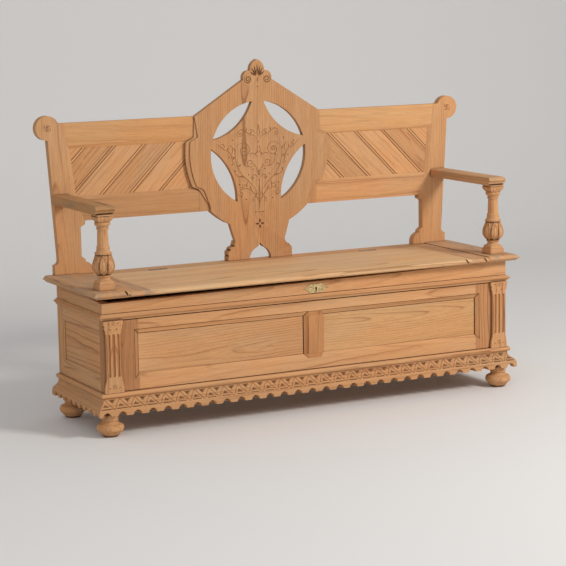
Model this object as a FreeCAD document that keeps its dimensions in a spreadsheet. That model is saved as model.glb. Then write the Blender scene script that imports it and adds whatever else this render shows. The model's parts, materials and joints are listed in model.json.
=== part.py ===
import FreeCAD, Part
import math
import os
import Sketcher

# Settle bench: a chest with a hinged lid as its seat, a shaped open back and turned arm supports.
# Millimetres. X runs along the bench, the front looks towards -Y, Z is up, and the floor is Z = 0.
# Depths are counted from the front face of the chest.

DIMENSIONS = {
    # the chest
    "carcass_length": 1600, "carcass_depth": 420, "foot_block_height": 20, "board": 28,
    "stile_width": 130, "rear_stile_width": 48, "rail_low_width": 56, "rail_high_width": 57,
    "frame_height": 250, "frieze_height": 74, "frieze_drop": 20, "frieze_level_from": 400,
    "muntin_width": 80, "bevel_width": 15, "bevel_depth": 8, "panel_thickness": 10,
    "groove_depth": 8, "joint_clearance": 0.2, "tenon_length": 24, "tenon_thickness": 10,
    "tenon_shoulder": 10, "back_board": 16, "floor_board": 15, "floor_gap": 2,
    "batten": 20, "batten_depth": 40, "back_split": 280, "block_width": 70, "block_depth": 80,
    # plinth, bead and waist moulding
    "plinth_height": 59, "plinth_flare": 30, "plinth_step": 5,
    "bead_height": 16, "bead_reach": 12, "scallop_radius": 15, "scallop_count": 30, "scallop_over": 3,
    "side_scallop_count": 9, "side_scallop_first": 2, "side_scallop_pitch": 46.9,
    "waist_drop": 3, "waist_rise": 11, "waist_fall": 10, "waist_reach": 13.5,
    # turned feet
    "foot_height": 75, "foot_radius": 46.5, "foot_tip_radius": 24, "foot_rim_radius": 40,
    "foot_rim_height": 18, "foot_belly_rise": 11, "foot_shoulder_rise": 14, "foot_neck_radius": 26,
    "foot_neck_rise": 11, "foot_inset_side": 24, "foot_inset_front": 15, "foot_inset_rear": 58,
    "spigot_radius": 11, "spigot_length": 18,
    # corner pilasters
    "pilaster_width": 70, "pilaster_reach": 11, "shaft_reach": 7, "capital_height": 36,
    "pedestal_height": 40, "flute_width": 9, "flute_count": 3,
    # seat
    "seat_thickness": 22, "seat_arris": 24, "seat_lip": 39, "seat_lip_depth": 11, "seat_fillet": 2,
    "seat_cove_reach": 28, "rear_overhang": 32, "seat_end_width": 90.5, "lid_drop": 3,
    "rear_rail_depth": 77, "cleat_width": 74, "lid_gap": 1, "lid_lift": 0.4, "lid_split": 190,
    # back
    "back_thickness": 28, "post_overhang": 1, "post_foot_width": 144, "post_waist_inset": 16,
    "post_bracket_reach": 43, "post_knee_reach": 17, "post_rail_reach": 28, "post_lean": 18,
    "post_joint_reach": 14.5, "post_joint_lean": 6.5, "post_step_rise": 38, "post_bracket_rise": 14,
    "post_knee_drop": 22, "post_tenon": 72, "back_tenon": 36,
    "ear_radius": 43, "ear_reach": 27, "ear_drop": 15,
    "back_gap": 190, "back_rail_low_width": 87, "back_panel_height": 168, "back_rail_high_width": 90,
    "board_width": 81, "board_start_left": 212, "board_start_right": 181, "board_bead": 9,
    "diagonal_board": 12, "board_groove": 1.6,
    # central splat
    "splat_core": 240, "splat_proud": 8, "splat_board": 21, "recess_margin": 12,
    "ring_radius": 193, "ring_rise": 198, "ring_rim": 295, "rim_width": 16, "rim_step": 4,
    "star_tip": 22, "star_low_rise": 31, "star_tip_height": 25, "star_waist": 92,
    "star_upper_bow": 205, "star_lower_bow": 225,
    "ring_edge": 280, "gable_half": 57, "gable_rise": 124, "eaves_half": 254, "flare_rise": 15,
    "finial_notch": 29, "finial_tip": 7, "finial_rise": 37, "finial_bow": 40, "finial_radius": 9,
    "volute_rise": 32, "volute_radius": 25, "splat_neck": 104, "splat_foot": 131,
    "splat_foot_rise": 52, "splat_shoulder": 121, "splat_shoulder_drop": 54,
    "arch_half": 43, "arch_spring_rise": 10, "arch_rise": 36,
    # arms and their supports
    "arm_inset": 29, "arm_width": 70, "arm_front": 8, "arm_rise": 254, "arm_thickness": 30,
    "arm_lip": 9, "arm_round": 8, "support_setback": 41, "support_base": 60, "support_base_rise": 28,
    "support_neck_radius": 20, "support_neck_rise": 17, "bulb_radius": 38.5, "bulb_rise": 26,
    "bulb_foot_rise": 8, "bulb_foot_radius": 27, "collar_rise": 42, "collar_radius": 29.5,
    "collar_step": 5, "shaft_low_radius": 21, "shaft_low_rise": 17, "shaft_high_radius": 16.5,
    "shaft_high_drop": 13, "capital_ring_radius": 28, "capital_ring_drop": 13,
    "capital_block_height": 26, "capital_size": 52, "support_spigot_radius": 12, "support_spigot_up": 14,
    "support_spigot_down": 14,
    "arm_dowel_radius": 6, "arm_dowel_length": 16,
    # hinges, lock and screws
    "hinge_place": 430, "hinge_length": 70, "knuckle_count": 5, "knuckle_radius": 3.6,
    "pin_radius": 1.5, "pin_clearance": 0.05, "knuckle_gap": 0.3, "leaf_thickness": 1.6,
    "leaf_height": 15, "hinge_relief": 1.2, "screw_radius": 1.6, "screw_head": 3.2,
    "screw_length": 12, "screw_clearance": 0.05, "lock_place": 8, "lock_width": 92, "lock_depth": 24,
    "lock_reach": 76, "lock_height": 69, "lock_flange": 14,
    "bolt_end": -5.5, "bolt_width": 34, "bolt_height": 9, "bolt_thickness": 5, "bolt_drop": 41,
    "bolt_depth": 41, "staple_width": 10,
    "staple_thickness": 4, "staple_plate": 54, "staple_drop": 48, "staple_eye_width": 6.5,
    "staple_eye_height": 11, "plate_width": 101, "plate_height": 30,
    "plate_drop": 36, "keyhole_radius": 4, "keyhole_drop": 12,
}

# Places that follow from the sizes above: each height is stacked on the one below it, and the
# places along the bench are counted from the end of the carcass.
PLACES = {
    "plinth_bottom": "foot_height",
    "carcass_underside": "foot_height + foot_block_height",
    "plinth_top": "plinth_bottom + plinth_height",
    "bead_top": "plinth_top + bead_height",
    "frame_top": "bead_top + frame_height",
    "rail_edge_low": "bead_top + rail_low_width",
    "rail_edge_high": "frame_top - rail_high_width",
    "waist_low": "frame_top - waist_drop",
    "waist_tip": "waist_low + waist_rise",
    "waist_high": "waist_tip + waist_fall",
    "chest_top": "frame_top + frieze_height",
    "seat_top": "chest_top + seat_thickness",
    "lid_top": "seat_top - lid_drop",
    "scallop_first": "carcass_length / 2 + scallop_over",
    "foot_belly_height": "foot_rim_height + foot_belly_rise",
    "foot_shoulder_height": "foot_belly_height + foot_shoulder_rise",
    "foot_neck_height": "foot_shoulder_height + foot_neck_rise",
    "seat_end_joint": "carcass_length / 2 - seat_end_width",
    "post_foot_outer": "carcass_length / 2 + post_overhang",
    "post_outer_low": "post_foot_outer - post_waist_inset",
    "post_foot_inner": "post_foot_outer - post_foot_width",
    "post_inner_low": "post_foot_inner + post_bracket_reach",
    "post_knee": "post_inner_low - post_knee_reach",
    "post_inner_rail": "post_knee + post_rail_reach",
    "post_inner_top": "post_inner_rail + post_lean",
    "post_joint_low": "post_inner_top + post_joint_reach",
    "post_joint_top": "post_joint_low + post_joint_lean",
    "post_bracket_step": "lid_top + post_step_rise",
    "post_bracket_top": "post_bracket_step + post_bracket_rise",
    "back_rail_low": "lid_top + back_gap",
    "back_rail_low_top": "back_rail_low + back_rail_low_width",
    "back_rail_high": "back_rail_low_top + back_panel_height",
    "back_rail_high_top": "back_rail_high + back_rail_high_width",
    "post_knee_low": "back_rail_low - post_knee_drop",
    "ear_centre_side": "post_outer_low + ear_reach",
    "ear_centre_height": "back_rail_high_top - ear_drop",
    "ring_centre": "back_rail_low + ring_rise",
    "star_side_low": "ring_centre + star_low_rise",
    "star_side_high": "star_side_low + star_tip_height",
    "flare_height": "back_rail_high + flare_rise",
    "gable_height": "back_rail_high_top + gable_rise",
    "volute_height": "gable_height + volute_rise",
    "finial_height": "volute_height + finial_rise",
    "splat_foot_height": "lid_top + splat_foot_rise",
    "splat_shoulder_height": "back_rail_low - splat_shoulder_drop",
    "arch_spring": "lid_top + arch_spring_rise",
    "arch_top": "arch_spring + arch_rise",
    "arm_centre": "post_foot_outer - arm_inset",
    "arm_underside": "seat_top + arm_rise",
    "arm_top": "arm_underside + arm_thickness",
    "support_base_top": "seat_top + support_base_rise",
    "support_neck_height": "support_base_top + support_neck_rise",
    "bulb_foot_height": "support_neck_height + bulb_foot_rise",
    "bulb_height": "bulb_foot_height + bulb_rise",
    "collar_height": "bulb_height + collar_rise",
    "shaft_low_height": "collar_height + shaft_low_rise",
    "capital_low": "arm_underside - capital_block_height",
    "capital_ring_height": "capital_low - capital_ring_drop",
    "shaft_high_height": "capital_ring_height - shaft_high_drop",
    "lock_low": "chest_top - lock_reach",
    "lock_high": "lock_low + lock_height",
    "bolt_level": "chest_top - bolt_drop",
    "plate_level": "chest_top - plate_drop",
}

document = FreeCAD.newDocument("settle_bench")
sheet = document.addObject("Spreadsheet::Sheet", "Sizes")
cells = {alias: str(value) for alias, value in DIMENSIONS.items()}
cells.update((alias, "=" + formula) for alias, formula in PLACES.items())
for row, (alias, content) in enumerate(cells.items(), start=1):
    sheet.set(f"A{row}", alias)
    sheet.set(f"B{row}", content)
    sheet.setAlias(f"B{row}", alias)
document.recompute()


class Size:
    """A length with its value and the expression that ties it to the sheet."""

    def __init__(self, text, value):
        self.text = text
        self.value = value

    def __add__(self, other):
        other = size(other)
        return Size(f"({self.text} + {other.text})", self.value + other.value)

    def __sub__(self, other):
        other = size(other)
        return Size(f"({self.text} - {other.text})", self.value - other.value)

    def __mul__(self, other):
        other = size(other)
        return Size(f"({self.text} * {other.text})", self.value * other.value)

    def __truediv__(self, other):
        other = size(other)
        return Size(f"({self.text} / {other.text})", self.value / other.value)

    def __neg__(self):
        return Size(f"(-1 * {self.text})", -self.value)

    def __radd__(self, other):
        return size(other) + self

    def __rsub__(self, other):
        return size(other) - self

    def __rmul__(self, other):
        return size(other) * self


def size(value):
    if isinstance(value, Size):
        return value
    return Size(f"({value:.6f})", float(value))


class Dimensions:
    """Reads a driving dimension by its alias."""

    def __getattr__(self, alias):
        return Size(f"Sizes.{alias}", float(sheet.get(alias)))


d = Dimensions()
parts = {}
SIDES = (("left", -1), ("right", 1))

# Depths are measured from the chest's front, and the origin is under the middle of the bench.
front = d.seat_lip - (d.seat_lip + d.carcass_depth + d.rear_overhang) / 2
half_length = d.carcass_length / 2


def depth(value):
    """The world Y of a depth behind the chest's front face."""
    return front + value


def bind(item, names_and_sizes):
    for name, length in names_and_sizes:
        item.setExpression(name, size(length).text)


def place(item, x=0, y=0, z=0):
    bind(item, (("Placement.Base.x", x), ("Placement.Base.y", y), ("Placement.Base.z", z)))
    return item


def keep(label, item):
    """Names a finished piece, which is then written to its own file."""
    item.Label = label
    parts[label] = item
    return item


def box(name, x, y, z):
    """A block between pairs of limits along X, Y and Z."""
    item = document.addObject("Part::Box", name)
    bind(item, (("Length", size(x[1]) - x[0]), ("Width", size(y[1]) - y[0]), ("Height", size(z[1]) - z[0])))
    return place(item, x[0], y[0], z[0])


def cylinder(name, radius, length, x, y, z, axis="z"):
    item = document.addObject("Part::Cylinder", name)
    bind(item, (("Radius", radius), ("Height", length)))
    turns = {"z": (0, 0, 1, 0), "x": (0, 1, 0, 90), "y": (1, 0, 0, -90)}
    ax, ay, az, angle = turns[axis]
    item.Placement = FreeCAD.Placement(FreeCAD.Vector(), FreeCAD.Rotation(FreeCAD.Vector(ax, ay, az), angle))
    return place(item, x, y, z)


def cut(name, base, tools):
    item = document.addObject("Part::Cut", name)
    item.Base = base
    item.Tool = tools[0] if len(tools) == 1 else gather(name + "_tools", tools)
    return item


def fuse(name, items):
    item = document.addObject("Part::MultiFuse", name)
    item.Shapes = items
    return item


def common(name, first, second):
    item = document.addObject("Part::Common", name)
    item.Base = first
    item.Tool = second
    return item


def gather(name, items):
    item = document.addObject("Part::Compound", name)
    item.Links = items
    return item


class Arc:
    """The next stretch of an outline: an arc to a point, bulging left (+1) or right (-1) of its chord."""

    def __init__(self, x, y, radius, side):
        self.x, self.y, self.radius, self.side = size(x), size(y), size(radius), side


def arc_centre(start, end, radius, side):
    middle = ((start[0] + end[0]) / 2, (start[1] + end[1]) / 2)
    chord = (end[0] - start[0], end[1] - start[1])
    span = math.hypot(*chord)
    rise = math.sqrt(max(radius * radius - span * span / 4, 0))
    normal = (-chord[1] / span, chord[0] / span)
    return (middle[0] - side * rise * normal[0], middle[1] - side * rise * normal[1])


def draw(sketch, outline):
    """Draws a closed outline whose corners and radii are tied to the sheet."""
    corners = []
    for step in outline:
        corners.append((step.x, step.y) if isinstance(step, Arc) else (size(step[0]), size(step[1])))
    count = len(outline)
    for index in range(count):
        start = [c.value for c in corners[index]]
        end = [c.value for c in corners[(index + 1) % count]]
        step = outline[(index + 1) % count]
        if isinstance(step, Arc):
            cx, cy = arc_centre(start, end, step.radius.value, step.side)
            circle = Part.Circle(FreeCAD.Vector(cx, cy, 0), FreeCAD.Vector(0, 0, 1), step.radius.value)
            first = math.atan2(start[1] - cy, start[0] - cx)
            last = math.atan2(end[1] - cy, end[0] - cx)
            if step.side > 0:
                first, last = last, first
            sketch.addGeometry(Part.ArcOfCircle(circle, first, last), False)
        else:
            points = [FreeCAD.Vector(p[0], p[1], 0) for p in (start, end)]
            sketch.addGeometry(Part.LineSegment(*points), False)

    def ends(index):
        step = outline[(index + 1) % count]
        return (2, 1) if isinstance(step, Arc) and step.side > 0 else (1, 2)

    for index in range(count):
        following = (index + 1) % count
        sketch.addConstraint(Sketcher.Constraint(
            "Coincident", index, ends(index)[1], following, ends(following)[0]))
        for kind, length in zip(("DistanceX", "DistanceY"), corners[index]):
            place_of_corner = Sketcher.Constraint(kind, -1, 1, index, ends(index)[0], length.value)
            number = sketch.addConstraint(place_of_corner)
            sketch.setExpression(f"Constraints[{number}]", length.text)
        step = outline[following]
        if isinstance(step, Arc):
            number = sketch.addConstraint(Sketcher.Constraint("Radius", index, step.radius.value))
            sketch.setExpression(f"Constraints[{number}]", step.radius.text)


def sketch_on(body, name, role, outline):
    sketch = body.newObject("Sketcher::SketchObject", name)
    plane = [item for item in body.Origin.OriginFeatures if item.Role == role][0]
    sketch.AttachmentSupport = [(plane, "")]
    sketch.MapMode = "FlatFace"
    draw(sketch, outline)
    return sketch


def new_body(name):
    return document.addObject("PartDesign::Body", name)


def pad(name, role, outline, length, x=0, y=0, z=0):
    """A board cut to an outline: XZ outlines grow towards -Y, YZ ones towards +X, XY ones upwards."""
    body = new_body(name)
    sketch = sketch_on(body, name + "_outline", role, outline)
    feature = body.newObject("PartDesign::Pad", name + "_pad")
    feature.Profile = sketch
    bind(feature, (("Length", length),))
    return place(body, x, y, z)


def turn(name, outline, x=0, y=0, z=0):
    """A turned piece from half its outline, drawn as (radius, height)."""
    body = new_body(name)
    sketch = sketch_on(body, name + "_outline", "XZ_Plane", outline)
    feature = body.newObject("PartDesign::Revolution", name + "_turning")
    feature.Profile = sketch
    feature.ReferenceAxis = (sketch, ["V_Axis"])
    feature.Angle = 360
    return place(body, x, y, z)


def between(side, inner, outer):
    """Limits along X on one side of the middle, in rising order."""
    inner, outer = size(inner), size(outer)
    return (inner, outer) if side > 0 else (-outer, -inner)


def mirrored(side, outline):
    """The same outline, or its mirror image across the middle of the bench."""
    result = []
    for step in outline:
        if isinstance(step, Arc):
            result.append(Arc(step.x * side, step.y, step.radius, step.side * side))
        else:
            result.append((size(step[0]) * side, step[1]))
    return result


# Feet: bun feet with a spigot that is glued into the corner block above.
foot_outline = [
    (0, 0),
    (d.foot_tip_radius, 0),
    (d.foot_rim_radius, d.foot_rim_height),
    (d.foot_rim_radius + 1, d.foot_rim_height + 1),
    Arc(d.foot_radius, d.foot_belly_height, d.foot_belly_height - d.foot_rim_height, -1),
    Arc(d.foot_rim_radius, d.foot_shoulder_height, d.foot_shoulder_height - d.foot_belly_height + 2, -1),
    Arc(d.foot_neck_radius, d.foot_neck_height, d.foot_shoulder_height - d.foot_belly_height + 4, 1),
    (d.foot_neck_radius + 3, d.foot_neck_height + 2),
    (d.foot_neck_radius + 3, d.foot_height),
    (d.spigot_radius, d.foot_height),
    (d.spigot_radius, d.foot_height + d.spigot_length),
    (0, d.foot_height + d.spigot_length),
]
foot_side = half_length - d.foot_inset_side
foot_depths = {"front": d.foot_inset_front, "rear": d.carcass_depth - d.foot_inset_rear}
corner_blocks = []
for end, foot_depth in foot_depths.items():
    for hand, side in SIDES:
        name = f"foot_{end}_{hand}"
        keep(name, turn(name + "_body", foot_outline, foot_side * side, depth(foot_depth)))
        block_start = size(0) if end == "front" else d.carcass_depth - d.block_depth
        block = box(f"block_{end}_{hand}", between(side, half_length - d.block_width, half_length),
                    (depth(block_start), depth(block_start + d.block_depth)),
                    (d.foot_height, d.carcass_underside))
        hole = cylinder(f"spigot_hole_{end}_{hand}", d.spigot_radius + d.joint_clearance, d.batten + 2,
                        foot_side * side, depth(foot_depth), d.foot_height - 1)
        corner_blocks.append(cut(f"corner_block_{end}_{hand}", block, [hole]))
keep("corner_blocks", gather("corner_block_group", corner_blocks))

# Chest frame: stiles, rails and a muntin with bevelled inner edges, mitred at the corners.
edge_low = d.rail_edge_low
edge_high = d.rail_edge_high
flat_low = edge_low - d.bevel_width
flat_high = edge_high + d.bevel_width
stile_inner = half_length - d.stile_width
muntin_half = d.muntin_width / 2
panel_front = d.bevel_depth + 2
panel_rear = panel_front + d.panel_thickness
tenon_front = (d.board - d.tenon_thickness) / 2
tenon_rear = tenon_front + d.tenon_thickness


def bevel_tool(name, x, z, turned=0, at=(0, 0)):
    """The four-sided space that bevels the edges of a framed opening."""
    item = document.addObject("Part::Wedge", name)
    flat = d.bevel_width
    bind(item, (("Xmin", x[0] - flat), ("Xmax", x[1] + flat), ("X2min", x[0]), ("X2max", x[1]),
                ("Zmin", z[0] - flat), ("Zmax", z[1] + flat), ("Z2min", z[0]), ("Z2max", z[1]),
                ("Ymin", 0), ("Ymax", d.bevel_depth)))
    item.Placement = FreeCAD.Placement(
        FreeCAD.Vector(), FreeCAD.Rotation(FreeCAD.Vector(0, 0, 1), turned))
    return place(item, at[0], at[1], 0)


def groove_tool(name, x, y, z):
    """The space of a panel with its tongues, a little larger than the panel itself."""
    reach = d.groove_depth
    gap = d.joint_clearance
    return box(name, (x[0] - reach, x[1] + reach), (y[0] - gap, y[1] + gap), (z[0] - reach, z[1] + reach))


def rail_with_tenons(name, x, y, z, tenon_x):
    """A rail between two shoulders, with a tenon at each end that stops short of its edges."""
    rail = box(name + "_board", x, y, z)
    tenon = box(name + "_tenons", tenon_x, (y[0] + tenon_front, y[0] + tenon_rear),
                (z[0] + d.tenon_shoulder, z[1] - d.tenon_shoulder))
    return fuse(name + "_blank", [rail, tenon])


def mortise(name, x, y, z):
    gap = d.joint_clearance
    return box(name, (size(x[0]) - gap, size(x[1]) + gap),
               (y[0] + tenon_front - gap, y[0] + tenon_rear + gap),
               (z[0] + d.tenon_shoulder - gap, z[1] - d.tenon_shoulder + gap))


front_face = (depth(0), depth(d.board))
rail_levels = {"top": (edge_high, d.frame_top), "bottom": (d.carcass_underside, edge_low)}
openings = {"left": (-stile_inner, -muntin_half), "right": (muntin_half, stile_inner)}


def front_bevels(name):
    return [bevel_tool(f"{name}_bevel_{hand}", openings[hand], (edge_low, edge_high), at=(0, depth(0)))
            for hand in openings]


def front_grooves(name):
    return [groove_tool(f"{name}_groove_{hand}", openings[hand],
                        (depth(panel_front), depth(panel_rear)), (edge_low, edge_high))
            for hand in openings]


for level, z in rail_levels.items():
    name = f"front_{level}_rail"
    blank = rail_with_tenons(name, (-stile_inner, stile_inner), front_face, z,
                             (-stile_inner - d.tenon_length, stile_inner + d.tenon_length))
    muntin_z = (z[0] - 1, z[0] + d.tenon_length) if level == "top" else (z[1] - d.tenon_length, z[1] + 1)
    socket = box(f"{name}_socket",
                 (-muntin_half + d.tenon_shoulder - d.joint_clearance,
                  muntin_half - d.tenon_shoulder + d.joint_clearance),
                 (depth(tenon_front - d.joint_clearance), depth(tenon_rear + d.joint_clearance)),
                 muntin_z)
    keep(name, cut(name + "_cut", blank, front_bevels(name) + front_grooves(name) + [socket]))

muntin_board = box("muntin_board", (-muntin_half, muntin_half), front_face, (edge_low, edge_high))
muntin_tenon = box("muntin_tenons", (-muntin_half + d.tenon_shoulder, muntin_half - d.tenon_shoulder),
                   (depth(tenon_front), depth(tenon_rear)),
                   (edge_low - d.tenon_length + 1, edge_high + d.tenon_length - 1))
keep("front_muntin", cut("muntin_cut", fuse("muntin_blank", [muntin_board, muntin_tenon]),
                         front_bevels("muntin") + front_grooves("muntin")))

for hand, (start, end) in openings.items():
    tongue = d.groove_depth - 1
    keep(f"front_panel_{hand}",
         box(f"front_panel_{hand}_board", (start - tongue, end + tongue),
             (depth(panel_front), depth(panel_rear)), (edge_low - tongue, edge_high + tongue)))

side_start = d.board
side_end = d.carcass_depth - d.rear_stile_width
side_levels = {"top": (edge_high, d.chest_top), "bottom": (d.carcass_underside, edge_low)}


def side_face(side):
    return between(side, half_length - d.board, half_length)


def side_tenon_x(side, gap=0):
    return between(side, half_length - tenon_rear - gap, half_length - tenon_front + gap)


def side_tenon(name, side, z, gap=0):
    """The tenon of a side rail, which runs into the front stile and the rear stile."""
    return box(name, side_tenon_x(side, gap),
               (depth(side_start - d.tenon_thickness - gap), depth(side_end + d.tenon_length + gap)),
               (z[0] + d.tenon_shoulder - gap, z[1] - d.tenon_shoulder + gap))


def side_bevel(name, side):
    """Bevels round the side panel; the wedge is turned to face outwards."""
    y = (depth(side_start), depth(side_end))
    x = y if side > 0 else (-y[1], -y[0])
    return bevel_tool(name, x, (edge_low, edge_high), turned=90 * side, at=(half_length * side, 0))


def side_groove(name, side):
    gap = d.joint_clearance
    return box(name, between(side, half_length - panel_rear - gap, half_length - panel_front + gap),
               (depth(side_start - d.groove_depth), depth(side_end + d.groove_depth)),
               (edge_low - d.groove_depth, edge_high + d.groove_depth))


def front_tenon_level(z):
    """A side rail's tenon into the front stile stays below the frieze board."""
    return (z[0], d.frame_top)


for hand, side in SIDES:
    face = side_face(side)
    name = f"front_stile_{hand}"
    stile = box(name + "_board", between(side, stile_inner, half_length), front_face,
                (d.carcass_underside, d.frame_top))
    tools = [mortise(f"{name}_mortise_{level}",
                     between(side, stile_inner - 1, stile_inner + d.tenon_length), front_face, z)
             for level, z in rail_levels.items()]
    tools += front_bevels(name) + front_grooves(name)
    tools += [side_groove(name + "_side_groove", side)]
    tools += [side_tenon(f"{name}_{level}_side_mortise", side,
                         front_tenon_level(z) if level == "top" else z, d.joint_clearance)
              for level, z in side_levels.items()]
    keep(name, cut(name + "_cut", stile, tools))

    name = f"rear_stile_{hand}"
    stile = box(name + "_board", face, (depth(side_end), depth(d.carcass_depth)),
                (d.carcass_underside, d.chest_top))
    tools = [side_bevel(name + "_bevel", side), side_groove(name + "_side_groove", side)]
    tools += [side_tenon(f"{name}_{level}_mortise", side,
                         front_tenon_level(z) if level == "top" else z, d.joint_clearance)
              for level, z in side_levels.items()]
    keep(name, cut(name + "_cut", stile, tools))

    for level, z in side_levels.items():
        name = f"side_{level}_rail_{hand}"
        board = box(name + "_board", face, (depth(side_start), depth(side_end)), z)
        tenon = side_tenon(name + "_tenons", side, front_tenon_level(z) if level == "top" else z)
        tools = [side_bevel(name + "_bevel", side), side_groove(name + "_groove", side)]
        if level == "top" and side < 0:
            # the top edge falls towards the front, where the seat stands clear of it
            slope = [(depth(0), d.chest_top - d.frieze_drop), (depth(side_end), d.chest_top),
                     (depth(side_end), d.chest_top + 2), (depth(0), d.chest_top + 2)]
            tools.append(pad(name + "_slope", "YZ_Plane", slope, d.board + 2, x=face[0] - 1))
        keep(name, cut(name + "_cut", fuse(name + "_blank", [board, tenon]), tools))

    tongue = d.groove_depth - 1
    keep(f"side_panel_{hand}",
         box(f"side_panel_{hand}_board", between(side, half_length - panel_rear, half_length - panel_front),
             (depth(side_start - tongue), depth(side_end + tongue)), (edge_low - tongue, edge_high + tongue)))

# Frieze: the plain board above the waist. Its top edge falls towards the left end.
frieze_outline = [
    (-half_length, d.frame_top),
    (half_length, d.frame_top),
    (half_length, d.chest_top),
    (d.frieze_level_from, d.chest_top),
    (-half_length, d.chest_top - d.frieze_drop),
]
frieze = pad("frieze_blank", "XZ_Plane", frieze_outline, d.board, y=depth(d.board))


def screw(name, x, y, z, way, gap=0):
    """A countersunk screw whose head is flush with the face at its start; gap makes its hole."""
    turns = {"+z": (1, 0, 0, 0), "+y": (1, 0, 0, -90), "-y": (1, 0, 0, 90)}
    ax, ay, az, angle = turns[way]
    placement = FreeCAD.Placement(FreeCAD.Vector(), FreeCAD.Rotation(FreeCAD.Vector(ax, ay, az), angle))
    head = document.addObject("Part::Cone", name + "_head")
    shank = document.addObject("Part::Cylinder", name + "_shank")
    bind(head, (("Radius1", d.screw_head + gap), ("Radius2", d.screw_radius + gap),
                ("Height", d.leaf_thickness)))
    bind(shank, (("Radius", d.screw_radius + gap), ("Height", d.screw_length + gap)))
    for item in (head, shank):
        item.Placement = placement
        place(item, x, y, z)
    return fuse(name, [head, shank])


# Strips that run round the front and both ends, mitred at the front corners.
def strip_outline(outline, side, offset):
    """Turns an outline of (reach, height) into one that stands out from a face."""
    result = []
    for step in outline:
        if isinstance(step, Arc):
            result.append(Arc(offset + step.x * side, step.y, step.radius, step.side * side))
        else:
            result.append((offset + size(step[0]) * side, step[1]))
    return result


def strip(name, outline, reach, low, high, where):
    """One strip: its moulded length, cut to its mitres."""
    rear = depth(d.carcass_depth)
    if where == "front":
        length = pad(name + "_length", "YZ_Plane", strip_outline(outline, -1, depth(0)),
                     d.carcass_length + 2 * reach, x=-half_length - reach)
        plan = [(-half_length - reach, depth(-reach)), (half_length + reach, depth(-reach)),
                (half_length, depth(0)), (-half_length, depth(0))]
    else:
        side = -1 if where == "left" else 1
        length = pad(name + "_length", "XZ_Plane", strip_outline(outline, side, half_length * side),
                     d.carcass_depth + reach, y=rear)
        plan = mirrored(side, [(half_length, depth(0)), (half_length + reach, depth(-reach)),
                               (half_length + reach, rear), (half_length, rear)])
    mitres = pad(name + "_mitres", "XY_Plane", plan, high - low + 2, z=low - 1)
    return common(name, length, mitres)


WHERE = ("front", "left", "right")

flare_middle = (d.plinth_flare + d.plinth_step) / 2
plinth_outline = [
    (0, d.plinth_bottom),
    (d.plinth_flare, d.plinth_bottom),
    (d.plinth_flare, d.plinth_bottom + d.bevel_depth),
    Arc(flare_middle, (d.plinth_bottom + d.plinth_top) / 2 + 5, 24, -1),
    Arc(d.plinth_step, d.plinth_top, 24, 1),
    (0, d.plinth_top),
]
scallop_pitch = 2 * d.scallop_first / (d.scallop_count - 1)


def scallops(where):
    """Round notches along the plinth's lower edge."""
    tools = []
    if where == "front":
        for number in range(round(d.scallop_count.value)):
            tools.append(cylinder(f"scallop_{number}", d.scallop_radius, 2 * d.plinth_flare,
                                  -d.scallop_first + scallop_pitch * number, depth(-1.5 * d.plinth_flare),
                                  d.plinth_bottom, axis="y"))
    else:
        start = half_length - d.plinth_flare / 2 if where == "right" else -half_length - 1.5 * d.plinth_flare
        for number in range(round(d.side_scallop_count.value)):
            at = d.side_scallop_first + d.side_scallop_pitch * number
            tools.append(cylinder(f"scallop_{where}_{number}", d.scallop_radius, 2 * d.plinth_flare,
                                  start, depth(at), d.plinth_bottom, axis="x"))
    return tools


for where in WHERE:
    name = f"plinth_{where}"
    board = strip(name + "_board", plinth_outline, d.plinth_flare, d.plinth_bottom, d.plinth_top, where)
    keep(name, cut(name + "_cut", board, scallops(where)))

bead_outline = [
    (0, d.plinth_top),
    (d.bead_reach - 3, d.plinth_top),
    Arc(d.bead_reach - 3, d.bead_top, (d.bead_top - d.plinth_top) / 2 + 1.5, -1),
    (0, d.bead_top),
]
keep("plinth_bead", gather("plinth_bead_group", [
    strip(f"bead_{where}", bead_outline, d.bead_reach + 4, d.plinth_top, d.bead_top, where)
    for where in WHERE]))

waist_outline = [
    (0, d.waist_low),
    (4, d.waist_low),
    Arc(d.waist_reach, d.waist_tip, 16, 1),
    (d.waist_reach, d.waist_tip + 1.5),
    (2, d.waist_high),
    (0, d.waist_high),
]
keep("waist_moulding", gather("waist_group", [
    strip(f"waist_{where}", waist_outline, d.waist_reach + 2, d.waist_low, d.waist_high, where)
    for where in WHERE]))

# Pilasters: pedestal, fluted shaft and capital in one piece, planted on the front stiles.
pedestal_top = d.bead_top + d.pedestal_height
capital_bottom = d.waist_low - d.capital_height
for hand, side in SIDES:
    name = f"pilaster_{hand}"
    x = between(side, half_length - d.pilaster_width, half_length)
    blocks = [
        box(name + "_pedestal", x, (depth(-d.pilaster_reach), depth(0)), (d.bead_top, pedestal_top)),
        box(name + "_shaft", x, (depth(-d.shaft_reach), depth(0)), (pedestal_top, capital_bottom)),
        box(name + "_capital", x, (depth(-d.pilaster_reach), depth(0)), (capital_bottom, d.waist_low)),
    ]
    flute_pitch = d.pilaster_width / (d.flute_count + 1)
    flutes = [cylinder(f"{name}_flute_{number}", d.flute_width / 2, capital_bottom - pedestal_top - 12,
                       x[0] + flute_pitch * number, depth(-d.shaft_reach), pedestal_top + 6)
              for number in range(1, round(d.flute_count.value) + 1)]
    keep(name, cut(name + "_cut", fuse(name + "_blank", blocks), flutes))

# Chest back, floor and the battens under the floor.
inside_half = half_length - d.board
back_front = d.carcass_depth - d.back_board
keep("chest_back", gather("chest_back_boards", [
    box("chest_back_low", (-inside_half, inside_half), (depth(back_front), depth(d.carcass_depth)),
        (d.carcass_underside, d.back_split)),
    box("chest_back_high", (-inside_half, inside_half), (depth(back_front), depth(d.carcass_depth)),
        (d.back_split, d.chest_top))]))

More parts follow.
